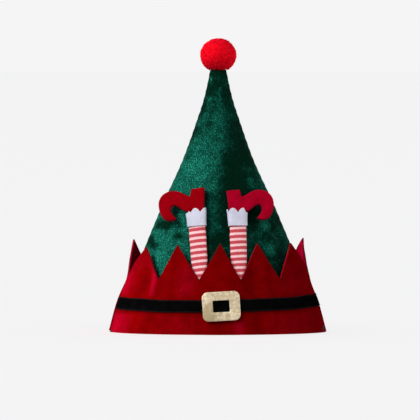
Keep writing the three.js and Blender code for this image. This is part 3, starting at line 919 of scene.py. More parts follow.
def brim_face(inset):
    """One face of the brim, from the hem to the cut edge."""
    hem = waves(HEM_LIFTS, turn_at(shares))
    body_rows = hem + (BODY_HEIGHT - hem) * np.linspace(0, 1, BODY_ROWS, endpoint=False)[:, None]
    body = brim_surface(turn_at(shares)[None, :], body_rows, -inset)
    rise = np.linspace(0, 1, POINT_ROWS + 1)[:, None]
    edge = VALLEY_HEIGHT + climbs * (tip_heights - VALLEY_HEIGHT)
    bend = climbs * rise**2
    height = BODY_HEIGHT + rise * (edge - BODY_HEIGHT)
    curl = bend * climbs**2 * curl_ways
    points = brim_surface(turn_at(shares + bend * lean_ways / BRIM_GIRTH), height, curl - inset)
    return np.concatenate((body, points))


brim_outside = brim_face(0)
cut = brim_outside[-1]
slope = np.abs(np.gradient(cut[:, 2])) / np.linalg.norm(np.gradient(cut, axis=0), axis=1)
below_cut = (cut[:, 2] - brim_outside[..., 2]) * np.cos(np.arctan(slope))
brim = cloth_wall(
    "felt_brim",
    brim_outside,
    brim_face(FELT_WALL),
    cut_edge=share_of(below_cut, EDGE_REACH, 0),
    nap=brushed_nap(brim_outside),
)
finish_piece(brim, brim_felt, "red_felt", "brim")

# %% [markdown]
# ## The belt
#
# The belt is a strip of thin black felt laid round the brim. It lies on the brim's own surface a hair's
# breadth further out, so that it follows every wave of the felt below. Cut by hand, it wanders a little up
# and down.

# %% Lay the belt
BELT_UNDER = 0.15
BELT_OVER = 1.2
BELT_CROWN = 0.22
BELT_SIDE_THINNER = 0.7
BELT_ROWS = 9
BELT_COLUMNS = 300
BELT_EDGE_REACH = 1.0
BELT_WANDER = [(0.25, 5, 0.7), (0.15, 13, 0)]  # height, waves round the hat, phase

belt_turns = turn_at(np.arange(BELT_COLUMNS) / BELT_COLUMNS)[None, :]
wander = sum(height * np.sin(count * belt_turns + phase) for height, count, phase in BELT_WANDER)
belt_across = np.linspace(-BELT_WIDTH / 2, BELT_WIDTH / 2, BELT_ROWS)[:, None]
belt_height = belt_line(belt_turns) + belt_across + wander
belt_over = BELT_OVER - BELT_CROWN - BELT_SIDE_THINNER * np.sin(belt_turns) ** 6
crowned = BELT_CROWN * (1 - (2 * belt_across / BELT_WIDTH) ** 4)
belt_edge = share_of(BELT_WIDTH / 2 - np.abs(belt_across), BELT_EDGE_REACH, 0)
belt = cloth_wall(
    "felt_belt",
    brim_surface(belt_turns, belt_height, belt_over + crowned),
    brim_surface(belt_turns, belt_height, BELT_UNDER),
    cut_edge=belt_edge * np.ones_like(belt_turns),
)
finish_piece(belt, belt_felt, "black_felt", "belt")

# %% [markdown]
# ## The buckle
#
# The buckle is a rounded square frame of stiff card, coated with pale gold glitter, glued on the belt a
# little crookedly. A flat extrusion would float off the curved brim, so its outline is bent onto the brim's
# surface. The frame is a hoop too: rings run from the outer edge over a rounded rim to the hole. The glitter
# is darker towards its lower left corner, so a mark that fades out from it is stored here and read when the
# glitter is coloured.

# %% Bend the buckle onto the brim
BUCKLE_OUTSIDE = {"width": 40.2, "height": 31.8, "corner": 6.2}
BUCKLE_HOLE = {"width": 17.8, "height": 12.6, "corner": 0.8}
BUCKLE_PLACE = (3, 31.2)
BUCKLE_TILT = math.radians(3.3)
BUCKLE_UNDER = 1.7
BUCKLE_RIM = [(0, 0), (0, 1.1), (0.012, 1.5), (0.045, 1.82), (0.1, 1.95), (0.3, 2.0)]  # way in, height
BUCKLE_PROFILE = BUCKLE_RIM + [(0.5, 2.02)] + [(1 - share, height) for share, height in BUCKLE_RIM[::-1]]
BUCKLE_FACE_HEIGHT = 1.4
CORNER_STEPS = 12
SIDE_STEPS = 14
DARKER_CORNER = (-15, 19)
DARKER_CORNER_REACH = 22


def rounded_rectangle(width, height, corner):
    """Points of a rounded rectangle, always equally many, anticlockwise from the right."""
    corners = []
    bend = np.linspace(0, np.pi / 2, CORNER_STEPS + 1)
    for quarter, (right, up) in enumerate([(1, 1), (-1, 1), (-1, -1), (1, -1)]):
        middle = np.array((right * (width / 2 - corner), up * (height / 2 - corner)))
        angle = bend + quarter * np.pi / 2
        corners.append(middle + corner * np.stack((np.cos(angle), np.sin(angle)), axis=-1))
    parts = []
    for bent, following in zip(corners, corners[1:] + corners[:1]):
        between = np.linspace(0, 1, SIDE_STEPS + 1)[1:-1, None]
        parts += [bent, bent[-1] + between * (following[0] - bent[-1])]
    return np.concatenate(parts)


cosine, sine = math.cos(BUCKLE_TILT), math.sin(BUCKLE_TILT)
turned = np.array(((cosine, sine), (-sine, cosine)))
outline, hole = rounded_rectangle(**BUCKLE_OUTSIDE), rounded_rectangle(**BUCKLE_HOLE)
rings = []
for share, height in BUCKLE_PROFILE:
    flat = (outline + share * (hole - outline)) @ turned + BUCKLE_PLACE
    half_width = smooth_table(BRIM_SECTIONS, flat[:, 1])[0]
    rings.append(brim_surface(np.arcsin(flat[:, 0] / half_width), flat[:, 1], BUCKLE_UNDER + height)[None])
buckle = hoop("buckle_card", *rings)
on_face = np.array(BUCKLE_PROFILE)[:, 1:] > BUCKLE_FACE_HEIGHT
mark(buckle, "face", on_face * np.ones((1, len(outline))))
# The glitter is darker towards the lower left corner.
corner_gap = np.linalg.norm(points_of(buckle.data)[:, ::2] / MM - DARKER_CORNER, axis=1)
mark(buckle, "corner_darkening", fade(corner_gap, DARKER_CORNER_REACH))
print("buckle points:", len(buckle.data.vertices))

# %% [markdown]
# ## Scattering with Geometry Nodes
#
# Glitter, pompom yarn and loose felt fibres have one thing in common: a small shape, repeated thousands of
# times over a surface, each a bit different. That is what Geometry Nodes do best. One function builds the
# tree: scatter points evenly on the marked faces, put the shape on each point, turn and scale it at random
# from a fixed seed, then make it all real and give it its material. Only the shape differs from tree to
# tree. Neighbours can also be long or short together, in clumps, as the ends of brushed yarn are.

# %% Build the scattering tree
CLUMPS_PER_METRE = 320.0
DENSEST = 1e8


def random(tree, kind, low, high, seed, later):
    """A random number or vector for each point. A later draw has a later seed."""
    first = 0 if kind == "FLOAT_VECTOR" else 2
    own_seed = maths(tree, "ADD", seed, later) if later else seed
    sockets = {first: low, first + 1: high, "Seed": own_seed}
    return add(tree, "FunctionNodeRandomValue", sockets, data_type=kind).outputs[first // 2]


def store(tree, geometry, name, value):
    """Geometry that carries one more number on each point."""
    sockets = {"Geometry": geometry, "Name": name, "Value": value}
    return add(tree, "GeometryNodeStoreNamedAttribute", sockets, data_type="FLOAT", domain="POINT").outputs[0]


def end_tree(tree, end, made, finish):
    """The last steps of a tree: its geometry gets its material and leaves."""
    finished = add(tree, "GeometryNodeSetMaterial", {"Geometry": made, "Material": finish})
    fill(tree, end, {0: finished.outputs[0]})


def scatter_tree(name, shape_kind, shape_sockets, marked, keep_surface=False):
    """A tree that repeats a small shape over a mesh. Its sizes are inputs of the modifier."""
    inputs = {label: "Float" for label in ("Spacing", "Tilt", "Shortest", "Longest", "Clumping")}
    inputs = {"Geometry": "Geometry", **inputs, "Seed": "Int", "Finish": "Material"}
    tree, start, end = new_group(name, "GeometryNodeTree", inputs, {"Geometry": "Geometry"})
    density = add(tree, "GeometryNodeInputNamedAttribute", {"Name": marked}, data_type="FLOAT").outputs[0]
    sockets = {
        "Mesh": start["Geometry"],
        "Distance Min": start["Spacing"],
        "Density Max": DENSEST,
        "Density Factor": density,
        "Seed": start["Seed"],
    }
    points = add(tree, "GeometryNodeDistributePointsOnFaces", sockets, distribute_method="POISSON")
    low, high = maths(tree, "MULTIPLY", start["Tilt"], -1), start["Tilt"]
    least = add(tree, "ShaderNodeCombineXYZ", {0: low, 1: low, 2: -math.pi}).outputs[0]
    most = add(tree, "ShaderNodeCombineXYZ", {0: high, 1: high, 2: math.pi}).outputs[0]
    tilt = random(tree, "FLOAT_VECTOR", least, most, start["Seed"], 0)
    sockets = {"Rotation": points.outputs["Rotation"], "Rotate By": tilt}
    tilted = add(tree, "FunctionNodeRotateRotation", sockets, rotation_space="LOCAL").outputs[0]
    place = add(tree, "GeometryNodeInputPosition").outputs[0]
    clumps = maths(tree, "SUBTRACT", noise(tree, place, CLUMPS_PER_METRE), 0.5)
    clumps = maths(tree, "MULTIPLY_ADD", clumps, start["Clumping"], 1.0)
    length = random(tree, "FLOAT", start["Shortest"], start["Longest"], start["Seed"], 1)
    length = maths(tree, "MULTIPLY", length, clumps)
    scale = add(tree, "ShaderNodeCombineXYZ", {0: 1.0, 1: 1.0, 2: length}).outputs[0]
    shade = random(tree, "FLOAT", 0.0, 1.0, start["Seed"], 2)
    shaded = store(tree, points.outputs["Points"], "own_shade", shade)
    shape = add(tree, shape_kind, shape_sockets).outputs["Mesh"]
    shape = store(tree, shape, "along", add(tree, "ShaderNodeSeparateXYZ", {0: place}).outputs["Z"])
    sockets = {"Points": shaded, "Instance": shape, "Rotation": tilted, "Scale": scale}
    repeated = add(tree, "GeometryNodeInstanceOnPoints", sockets).outputs[0]
    made = add(tree, "GeometryNodeRealizeInstances", {0: repeated}).outputs[0]
    if keep_surface:
        joined = add(tree, "GeometryNodeJoinGeometry", {0: start["Geometry"]})
        fill(tree, joined, {0: made})
        made = joined.outputs[0]
    end_tree(tree, end, made, start["Finish"])
    return tree


def real_mesh(piece):
    """A piece's mesh with its modifiers applied."""
    evaluated = piece.evaluated_get(bpy.context.evaluated_depsgraph_get())
    return bpy.data.meshes.new_from_object(evaluated)


def run_tree(name, tree, source, **sizes):
    """Runs a Geometry Nodes tree on a copy of a mesh and keeps the result as a plain mesh."""
    piece = put_in_scene(name, source.copy())
    modifier = piece.modifiers.new("nodes", "NODES")
    modifier.node_group = tree
    for item in tree.interface.items_tree:
        if item.in_out == "INPUT" and item.name.lower() in sizes:
            modifier[item.identifier] = sizes[item.name.lower()]
    mesh = real_mesh(piece)
    piece.modifiers.remove(modifier)
    piece.data = mesh
    piece.data.name = name
    return piece


print("scattering ready")

# %% [markdown]
# ## Glitter
#
# The card under the glitter is a plain dull gold. On it lie thousands of tiny six-sided flakes. Painting
# them with a Voronoi texture would only colour the card: real flakes lie at different angles, so that some
# flash and others are dark. Here each flake is a thin six-sided disc with its own tilt and its own shade.

# %% Coat the buckle
CARD_GOLD = (0.20, 0.14, 0.07, 1)
CARD_PALE = (0.38, 0.29, 0.17, 1)
CARD_GRAINS_PER_METRE = 1900.0
FLAKE_DARK = (0.40, 0.31, 0.17, 1)
FLAKE_PALE = (0.90, 0.76, 0.53, 1)
FLAKE_SHAPE = {"Vertices": 6, "Radius": 0.34 * MM, "Depth": 0.07 * MM}
FLAKE_OWN_SHADE = 0.5
THIN_PLACES_PER_METRE = 230.0
THIN_RANGE = (0.35, 0.62, 0.0, 0.6)
CORNER_DARKENING_SHARE = 1.1
FLAKE_ROUGHNESS = (0.45, 0.3)

gold_card, tree, shader = new_material("gold_card")
sockets = {"Vector": place_in(tree), "Scale": CARD_GRAINS_PER_METRE}
grain = add(tree, "ShaderNodeTexVoronoi", sockets).outputs["Distance"]
card_look = {
    "Base Color": blend(tree, grain, CARD_GOLD, CARD_PALE),
    "Normal": bumps(tree, grain, strength=0.5, depth=0.25),
    "Metallic": 0.3,
    "Roughness": 0.6,
}
fill(tree, shader, card_look)
finish_piece(buckle, gold_card, "glitter_gold", "buckle")

gold_flakes, tree, shader = new_material("gold_flakes")
shade = stored(tree, "own_shade")
thick = ramp(tree, noise(tree, place_in(tree), THIN_PLACES_PER_METRE, detail=3.0), *THIN_RANGE)
# Flakes are darker towards the buckle's lower left corner.
bright = weighted(tree, (shade, FLAKE_OWN_SHADE), (thick, 1.0), (stored(tree, "corner_darkening"), -CORNER_DARKENING_SHARE))
flake_look = {
    "Base Color": blend(tree, bright, FLAKE_DARK, FLAKE_PALE),
    "Roughness": ramp(tree, shade, 0.0, 1.0, *FLAKE_ROUGHNESS),
    "Metallic": 0.25,
}
fill(tree, shader, flake_look)

flake_tree = scatter_tree("glitter_flakes", "GeometryNodeMeshCylinder", FLAKE_SHAPE, "face")
flake_sizes = {"spacing": 0.5 * MM, "tilt": math.radians(16), "shortest": 1.0, "longest": 1.0, "seed": 4}
flakes = run_tree("buckle_glitter", flake_tree, buckle.data, finish=gold_flakes, **flake_sizes)
finish_piece(flakes, gold_flakes, "glitter_gold")

# %% [markdown]
# ## Loose fibres on the cut edge
#
# Scissors leave loose fibres along a felt edge, and they catch the light as a thin pale line. They are
# single fine hairs, so they are real geometry and not paint: small three-sided spikes scattered where the
# brim and the belt are marked as cut.

# %% Fray the edges of the brim and the belt
FIBRE_SHAPE = {"Vertices": 3, "Radius Top": 0.012 * MM, "Radius Bottom": 0.05 * MM, "Depth": 1.0 * MM}
FIBRE_LENGTHS = {"shortest": 0.4, "longest": 1.1}

fray_tree = scatter_tree("edge_fibres", "GeometryNodeMeshCone", FIBRE_SHAPE, "cut_edge")


def fray_edge(name, cloth, slot, finish, dark, light, roughness, specular, **sizes):
    """Loose fibres along the cut edge of a felt, in a material of their own."""
    material, tree, shader = new_material(finish)
    colour = blend(tree, stored(tree, "own_shade"), dark, light)
    fill(tree, shader, {"Base Color": colour, "Roughness": roughness, "Specular IOR Level": specular})
    piece = run_tree(name, fray_tree, cloth.data, finish=material, **FIBRE_LENGTHS, **sizes)
    finish_piece(piece, material, slot)
    return piece


fray = fray_edge(
    "brim_fibres",
    brim,
    "red_felt",
    "frayed_fibres",
    dark=(0.17, 0.0006, 0.001, 1),
    light=(0.40, 0.02, 0.03, 1),
    roughness=0.9,
    specular=0.1,
    spacing=0.55 * MM,
    tilt=math.radians(65),
    seed=11,
)
belt_fray = fray_edge(
    "belt_fibres",
    belt,
    "black_felt",
    "black_fibres",
    dark=(0.001, 0.001, 0.001, 1),
    light=(0.012, 0.012, 0.013, 1),
    roughness=0.95,
    specular=0.0,
    spacing=0.5 * MM,
    tilt=math.radians(75),
    seed=13,
)

# %% [markdown]
# ## Side seams of the brim
#
# The brim and its belt are closed by a seam at each side. There the felt is turned in and makes a soft
# round ridge that runs up over the belt. A seam follows a path, so it is a curve in Geometry Nodes with a
# round section swept along it.

# %% Prepare the side seams
SEAM_TURNS = {"left": -90, "right": 101}
SEAM_RADIUS = 1.15
SEAM_CORNERS = 14
SEAM_OUT = 0.35
SEAM_LOW = 1.3
SEAM_HIGH = 57.0
SEAM_STEPS = 60
SEAM_FADE = 22.0
SEAM_SINK = 1.6
SEAM_WOBBLE = [(0.35, 4.1), (0.2, 1.7)]  # degrees to the side, length

inputs = {"Geometry": "Geometry", "Radius": "Float", "Finish": "Material"}
seam_tree, start, end = new_group("seam_ridge", "GeometryNodeTree", inputs, {"Geometry": "Geometry"})
path_curve = add(seam_tree, "GeometryNodeMeshToCurve", {"Mesh": start["Geometry"]}).outputs[0]
sockets = {"Resolution": SEAM_CORNERS, "Radius": start["Radius"]}
section = add(seam_tree, "GeometryNodeCurvePrimitiveCircle", sockets).outputs[0]
sockets = {"Curve": path_curve, "Profile Curve": section, "Fill Caps": True}
swept = add(seam_tree, "GeometryNodeCurveToMesh", sockets).outputs[0]
made = add(seam_tree, "GeometryNodeRealizeInstances", {0: swept}).outputs[0]
end_tree(seam_tree, end, made, start["Finish"])


def side_seam(side):
    """A round ridge up one side of the brim, which sinks into the felt at its upper end."""
    height = np.linspace(SEAM_LOW, SEAM_HIGH, SEAM_STEPS)
    sideways = sum(reach * np.sin(height / length) for reach, length in SEAM_WOBBLE)
    sunk = SEAM_SINK * share_of(height, SEAM_HIGH - SEAM_FADE, SEAM_HIGH) ** 2
    ridge = brim_surface(np.radians(SEAM_TURNS[side] + sideways), height, SEAM_OUT - sunk)
    path = bpy.data.meshes.new(f"seam_path_{side}")
    path.from_pydata((ridge * MM).tolist(), [(step, step + 1) for step in range(SEAM_STEPS - 1)], [])
    seam = run_tree(f"brim_seam_{side}", seam_tree, path, radius=SEAM_RADIUS * MM, finish=brim_felt)
    seam.data.shade_smooth()
    return seam


print("seam section:", SEAM_CORNERS, "corners,", 2 * SEAM_RADIUS, "mm thick")

# %% [markdown]
# The lower end of each seam shows as a small dark knot at the hem; its felt is coloured darker than the
# brim's, a painted shade of the folded seam end. A ball would look like a bead. Its points are drawn in
# between the three axes, which makes it a lump with soft corners, and it is turned to lie along the hem.

# %% Sew the seams and tie the knots
KNOT_PLACES = {"left": (-80, 1.6), "right": (77, 4.3)}  # turn and height
KNOT_SIZES = {"left": (2.6, 1.4, 1.5), "right": (5.2, 2.0, 4.2)}  # half sizes along the hem, out and up
KNOT_POINTEDNESS = 1.25
KNOT_SUBDIVISIONS = 4
# Both colours are darker than the brim's felt: painted shade of the folded seam end.
KNOT_DARK = (0.06, 0.007, 0.008, 1)
KNOT_LIGHT = (0.17, 0.032, 0.034, 1)
KNOT_LUMPS_PER_METRE = 700.0

seam_knot, tree, shader = new_material("dark_seam_end")
lumps = noise(tree, place_in(tree), KNOT_LUMPS_PER_METRE, detail=3.0)
knot_look = {
    "Base Color": blend(tree, lumps, KNOT_DARK, KNOT_LIGHT),
    "Normal": bumps(tree, lumps, strength=0.8, depth=0.6),
    "Roughness": 0.95,
    "Specular IOR Level": 0.0,
}
fill(tree, shader, knot_look)


def hem_knot(side):
    """The lump at the lower end of a seam."""
    ball = bmesh.new()
    bmesh.ops.create_icosphere(ball, subdivisions=KNOT_SUBDIVISIONS, radius=1)
    shape = np.array([vert.co for vert in ball.verts])
    faces = [[vert.index for vert in face.verts] for face in ball.faces]
    ball.free()
    size = (np.abs(shape) ** KNOT_POINTEDNESS).sum(axis=1, keepdims=True) ** (1 / KNOT_POINTEDNESS)
    turn, height = KNOT_PLACES[side]
    around = np.radians(turn)
    along_hem = np.array((HEM_HALF_WIDTH * np.cos(around), HEM_HALF_DEPTH * np.sin(around), 0))
    along_hem = along_hem / np.linalg.norm(along_hem)
    outward = np.array((along_hem[1], -along_hem[0], 0))
    middle = brim_surface(np.array([around]), np.array([height]), 0.0)
    knot = middle + shape / size * KNOT_SIZES[side] @ np.array((along_hem, outward, (0, 0, 1)))
    return new_piece(f"hem_knot_{side}", knot, faces)


for side in SIDES:
    finish_piece(side_seam(side), brim_felt, "red_felt")
    finish_piece(hem_knot(side), seam_knot, "red_felt")

# %% [markdown]
# ## The pompom
#
# A pompom is yarn wound into a bundle, tied, cut and trimmed to a ball. A ball with a bump map keeps a hard
# outline, and that gives it away. So a solid core carries thousands of short tapered ends of yarn that all
# point outwards. Each is a little shorter or longer and leans a little, which makes the soft uneven
# outline. The crown's tip sits in a hollow below the core, and no yarn grows there.

# %% Tie the pompom
POMPOM_RADIUS = 19.8
POMPOM_HALF_HEIGHT = 18.2
POMPOM_MIDDLE = 304.2
CORE_SHARE = 0.875
CORE_SAG = 1.05
CORE_SUBDIVISIONS = 5
SOCKET_RADIUS = 9.6
SOCKET_GAP = 0.5
YARN_LENGTH = 2.6
YARN_TIP_START = 0.5
YARN_SHAPE = {"Vertices": 3, "Radius Top": 0.2 * MM, "Radius Bottom": 0.32 * MM, "Depth": YARN_LENGTH * MM}
POMPOM_DEEP = (0.68, 0.0005, 0.0045, 1)
POMPOM_RED = (0.96, 0.001, 0.01, 1)
# The lighter tip colour is a painted highlight on the yarn ends.
POMPOM_LIT_TIP = (1.0, 0.008, 0.03, 1)
YARN_MOTTLES_PER_METRE = 650.0
MOTTLE_RANGE = (0.34, 0.62)

red_yarn, tree, shader = new_material("cut_red_yarn")
mottles = noise(tree, place_in(tree), YARN_MOTTLES_PER_METRE, detail=1.0)
body = blend(tree, ramp(tree, mottles, *MOTTLE_RANGE), POMPOM_DEEP, POMPOM_RED)
# Each yarn end is coloured lighter towards its tip: a painted highlight.
tip_highlight = ramp(tree, stored(tree, "along"), YARN_TIP_START * YARN_LENGTH * MM, YARN_LENGTH * MM)
tip = maths(tree, "MULTIPLY", tip_highlight, stored(tree, "own_shade"))
yarn_look = {
    "Base Color": blend(tree, tip, body, POMPOM_LIT_TIP),
    "Roughness": 0.85,
    "Specular IOR Level": 0.02,
    "Sheen Weight": 0.1,
    "Sheen Tint": (1, 0, 0.05, 1),
    "Subsurface Weight": 0.05,
    "Subsurface Radius": (1, 0.05, 0.05),
    "Subsurface Scale": 0.8 * MM,
}
fill(tree, shader, yarn_look)

core_edit = bmesh.new()
bmesh.ops.create_icosphere(core_edit, subdivisions=CORE_SUBDIVISIONS, radius=1)
for vert in core_edit.verts:
    across, deep, up = vert.co
    half_height = POMPOM_HALF_HEIGHT * (1 if up > 0 else CORE_SAG)
    vert.co = Vector((POMPOM_RADIUS * across, POMPOM_RADIUS * deep, half_height * up)) * CORE_SHARE * MM
    vert.co.z += POMPOM_MIDDLE * MM
    from_axis = vert.co.xy.length / MM / SOCKET_RADIUS
    if up < 0 and from_axis < 1:
        roof = CROWN_TOP + CROWN_TIP_RISE * math.sqrt(1 - from_axis**2) + SOCKET_GAP
        vert.co.z = max(vert.co.z, roof * MM)
core = put_in_scene("pompom_core", bpy.data.meshes.new("pompom_core"))
core_edit.to_mesh(core.data)
core_edit.free()
core_points = points_of(core.data) / MM
in_socket = (core_points[:, 2] < POMPOM_MIDDLE) & (np.hypot(*core_points[:, :2].T) < SOCKET_RADIUS)
mark(core, "all_over", np.where(in_socket, 0, 1))
yarn_tree = scatter_tree("pompom_yarn", "GeometryNodeMeshCone", YARN_SHAPE, "all_over", keep_surface=True)
yarn_sizes = {"spacing": 0.42 * MM, "tilt": math.radians(24), "shortest": 0.75, "longest": 1.1}
pompom = run_tree("yarn_pompom", yarn_tree, core.data, clumping=1.3, seed=7, finish=red_yarn, **yarn_sizes)
bpy.data.objects.remove(core)
pompom.data.shade_smooth()
outward = points_of(pompom.data) / MM - (0, 0, POMPOM_MIDDLE)
outward = outward / np.linalg.norm(outward, axis=1, keepdims=True)
pompom.data.normals_split_custom_set_from_vertices(outward.tolist())
finish_piece(pompom, red_yarn, "red_yarn", "pompom")
small_pieces = [buckle, flakes, pompom]

# %% [markdown]
# ## Stuffing by simulation
#
# The legs and shoes are cloth bags filled with fibre. A stuffed bag is rounder in the middle of each side,
# tight at its seams and never quite flat. Blender's Cloth can find that shape by itself: a copy of the
# solid is remeshed evenly and blown up a little from inside, with gravity off. Cloth works best on things
# the size of furniture, so the copy is made larger for the simulation and brought back afterwards.

# %% Prepare the stuffing
SIM_SCALE = 12
SIM_FRAMES = 20
CLOTH_SETTINGS = {
    "use_pressure": True,
    "uniform_pressure_force": 4,
    "quality": 6,
    "mass": 0.2,
    "tension_stiffness": 20,
    "compression_stiffness": 8,
    "bending_stiffness": 0.6,
}
SMOOTHING = 8
SWELL_PERCENTILE = 85
JOINED_WITHIN = 0.002
STANDING_STILL = 1e-9


def move_points(mesh, points):
    """Puts a mesh's points at new places."""
    mesh.vertices.foreach_set("co", np.asarray(points).ravel())
    mesh.update()


def applied(piece):
    """Replaces a piece's mesh by what its modifiers make of it."""
    mesh = real_mesh(piece)
    piece.modifiers.clear()
    piece.data = mesh


def cloth_copy(name, node):
    """A copy of a solid with its loose triangles joined."""
    edit = bmesh.new()
    edit.from_mesh(nodes[node].data)
    bmesh.ops.remove_doubles(edit, verts=edit.verts, dist=JOINED_WITHIN * MM)
    piece = put_in_scene(name, bpy.data.meshes.new(name))
    edit.to_mesh(piece.data)
    edit.free()
    return piece


def blow_up(piece, most):
    """Lets cloth swell under pressure, scaled so that hardly a point moves further than the given length."""
    before = points_of(piece.data)
    swelling = piece.modifiers.new("stuffing", "CLOTH")
    for name, value in CLOTH_SETTINGS.items():
        setattr(swelling.settings, name, value)
    swelling.settings.effector_weights.gravity = 0
    swelling.collision_settings.use_collision = False
    for moment in range(1, SIM_FRAMES + 1):
        scene.frame_set(moment)
    moved = points_of(real_mesh(piece)) - before
    piece.modifiers.clear()
    scene.frame_set(1)
    far = np.linalg.norm(moved, axis=1, keepdims=True)
    moved = moved * min(1, most / np.percentile(far, SWELL_PERCENTILE))
    far = np.linalg.norm(moved, axis=1, keepdims=True)
    move_points(piece.data, before + moved * np.minimum(1, most / np.maximum(far, STANDING_STILL)))
    return float(np.median(far)), float(far.max())


def stuff(name, node, voxel, start_inset, most):
    """A stuffed cloth piece in the place of a solid. All three sizes are in millimetres."""
    piece = cloth_copy(name, node)
    large = MM * SIM_SCALE
    middle = points_of(piece.data).mean(axis=0)
    move_points(piece.data, (points_of(piece.data) - middle) * SIM_SCALE)
    remesh = piece.modifiers.new("even_cloth", "REMESH")
    remesh.mode = "VOXEL"
    remesh.voxel_size = voxel * large
    smooth = piece.modifiers.new("smooth", "SMOOTH")
    smooth.iterations = SMOOTHING
    smooth.factor = 0.5
    applied(piece)
    move_points(piece.data, points_of(piece.data) - points_of(piece.data, "normal") * start_inset * large)
    usual, furthest = (length / large for length in blow_up(piece, most * large))
    print(f"{name}: cloth moved {usual:.2f} mm, at most {furthest:.2f} mm before the cap")
    move_points(piece.data, points_of(piece.data) / SIM_SCALE + middle)
    finer = piece.modifiers.new("finer", "SUBSURF")
    finer.levels = finer.render_levels = 1
    applied(piece)
    piece.data.name = name
    piece.data.shade_smooth()
    return piece


print("stuffing ready")

# %% [markdown]
# ## Each leg's own directions
#
# The two legs lean a little differently on the cone, so stripes and cuffs need directions that go with each
# leg. They are read off the solid: the flat top end gives the way up, and the longer side of that end gives
# the way across.

# %% Read the legs' directions
LEG_TUCK = 9.0  # the solid starts this far below the valley of the brim
LEG_FOOT_OFF = 1.9  # and the middle of its foot is this far off the crown
END_DEPTH = 0.05


def leg_directions(side):
    """The place where a leg comes out of the brim, and its across, inward and up directions."""
    mesh = nodes[f"leg_{side}"].data
    up = np.array(max(mesh.polygons, key=lambda face: face.center.z).normal)
    points = points_of(mesh)
    level = points @ up
    top = points[level > level.max() - END_DEPTH * MM]
    across = np.linalg.eigh(np.cov((top - top.mean(axis=0)).T))[1][:, -1]
    across *= np.sign(across[0])
    inward = np.cross(up, across)
    foot = points[level < level.min() + END_DEPTH * MM].mean(axis=0)
    return foot + (LEG_TUCK * up + LEG_FOOT_OFF * inward) * MM, np.array((across, inward, up))


legs = {side: leg_directions(side) for side in SIDES}
for side, (origin, directions) in legs.items():
    print(side, "leg leaves the brim at", (origin / MM).round(1), "and rises along", directions[2].round(3))

# %% [markdown]
# ## Striped stockings
#
# The stocking is a fine knit with red and white stripes. The stripes run round the leg, not level with the
# floor, so the material reads how far up the leg a point is from an attribute, and how far across it from
# another. The same two numbers draw the knit: rows of small slanted stitches that meet in a V.

# %% Draw the stripes and the knit
RED_SHARE = 0.66
STRIPE_SOFTNESS = 0.08
STRIPE_WHITE = (0.90, 0.55, 0.55, 1)
STRIPE_RED = (0.51, 0.053, 0.07, 1)
KNIT_WIDTH = 0.95
KNIT_HEIGHT = 0.72
GROOVE_RANGE = (0.36, 0.5, 0.0, 0.6)
KNIT_SHADE = (-0.9, 0.3, 0.78, 1.0)
WOBBLES_PER_METRE = 420.0
STRIPE_WOBBLE = 0.14
STRIPE_STITCH = 0.02

striped_knit, tree, shader = new_material("striped_stocking")
stitch = maths(tree, "FRACT", maths(tree, "DIVIDE", stored(tree, "across_leg"), KNIT_WIDTH))
from_middle = maths(tree, "ABSOLUTE", maths(tree, "SUBTRACT", stitch, 0.5))
row = weighted(tree, (stored(tree, "up_leg"), 1 / KNIT_HEIGHT), (from_middle, 1.0))
yarn = maths(tree, "SINE", maths(tree, "MULTIPLY", row, 2 * math.pi))
loops = weighted(tree, (yarn, 0.5), (ramp(tree, from_middle, *GROOVE_RANGE), -1.0))
wobble = maths(tree, "SUBTRACT", noise(tree, place_in(tree), WOBBLES_PER_METRE), 0.5)
bands = weighted(tree, (stored(tree, "stripes_up"), 1.0), (wobble, STRIPE_WOBBLE), (loops, STRIPE_STITCH))
stripe = maths(tree, "FRACT", bands)
red_start = ramp(tree, stripe, 0.0, 2 * STRIPE_SOFTNESS)
red_end = ramp(tree, stripe, RED_SHARE - STRIPE_SOFTNESS, RED_SHARE + STRIPE_SOFTNESS, 1.0, 0.0)
stripes = blend(tree, maths(tree, "MULTIPLY", red_start, red_end), STRIPE_WHITE, STRIPE_RED)
shadowed = ramp(tree, loops, *KNIT_SHADE)
tint = add(tree, "ShaderNodeCombineColor", {0: shadowed, 1: shadowed, 2: shadowed}).outputs[0]
knit_look = {
    "Base Color": blend(tree, 1.0, stripes, tint, "MULTIPLY"),
    "Normal": bumps(tree, loops, strength=0.5, depth=0.22),
    "Roughness": 0.9,
    "Specular IOR Level": 0.15,
    "Sheen Weight": 0.15,
}
fill(tree, shader, knit_look)
print("knit:", striped_knit.name)

# %% [markdown]
# Now the stockings themselves. Stuffing makes a flat tube rounder and so narrower, and afterwards each
# stocking is let out again to the width of its solid. Each has its own marks for the material to read.

# %% Knit the stockings
STRIPE_PITCH = {"left": 6.33, "right": 6.18}
FIRST_STRIPE = {"left": 1.55, "right": 1.15}
STRIPE_TILT = 0.035
STOCKING_STUFFING = {"voxel": 0.8, "start_inset": 0.35, "most": 0.75}

for side, (origin, directions) in legs.items():
    leg = stuff(f"stocking_{side}", f"leg_{side}", **STOCKING_STUFFING)
    solid_width = np.ptp(points_of(nodes[f"leg_{side}"].data) @ directions[0])
    cloth_width = np.ptp(points_of(leg.data) @ directions[0])
    from_middle = (points_of(leg.data) - origin) @ directions[0]
    let_out = (solid_width / cloth_width - 1) * from_middle
    move_points(leg.data, points_of(leg.data) + let_out[:, None] * directions[0])
    print(f"{leg.name}: {cloth_width / MM:.1f} mm wide, let out to {solid_width / MM:.1f} mm")
    across_leg, _, up_leg = ((points_of(leg.data) - origin) @ directions.T / MM).T
    mark(leg, "across_leg", across_leg)
    mark(leg, "up_leg", up_leg)
    mark(leg, "stripes_up", (up_leg - FIRST_STRIPE[side] - STRIPE_TILT * across_leg) / STRIPE_PITCH[side])
    finish_piece(leg, striped_knit, "striped_knit", f"leg_{side}")
    small_pieces.append(leg)

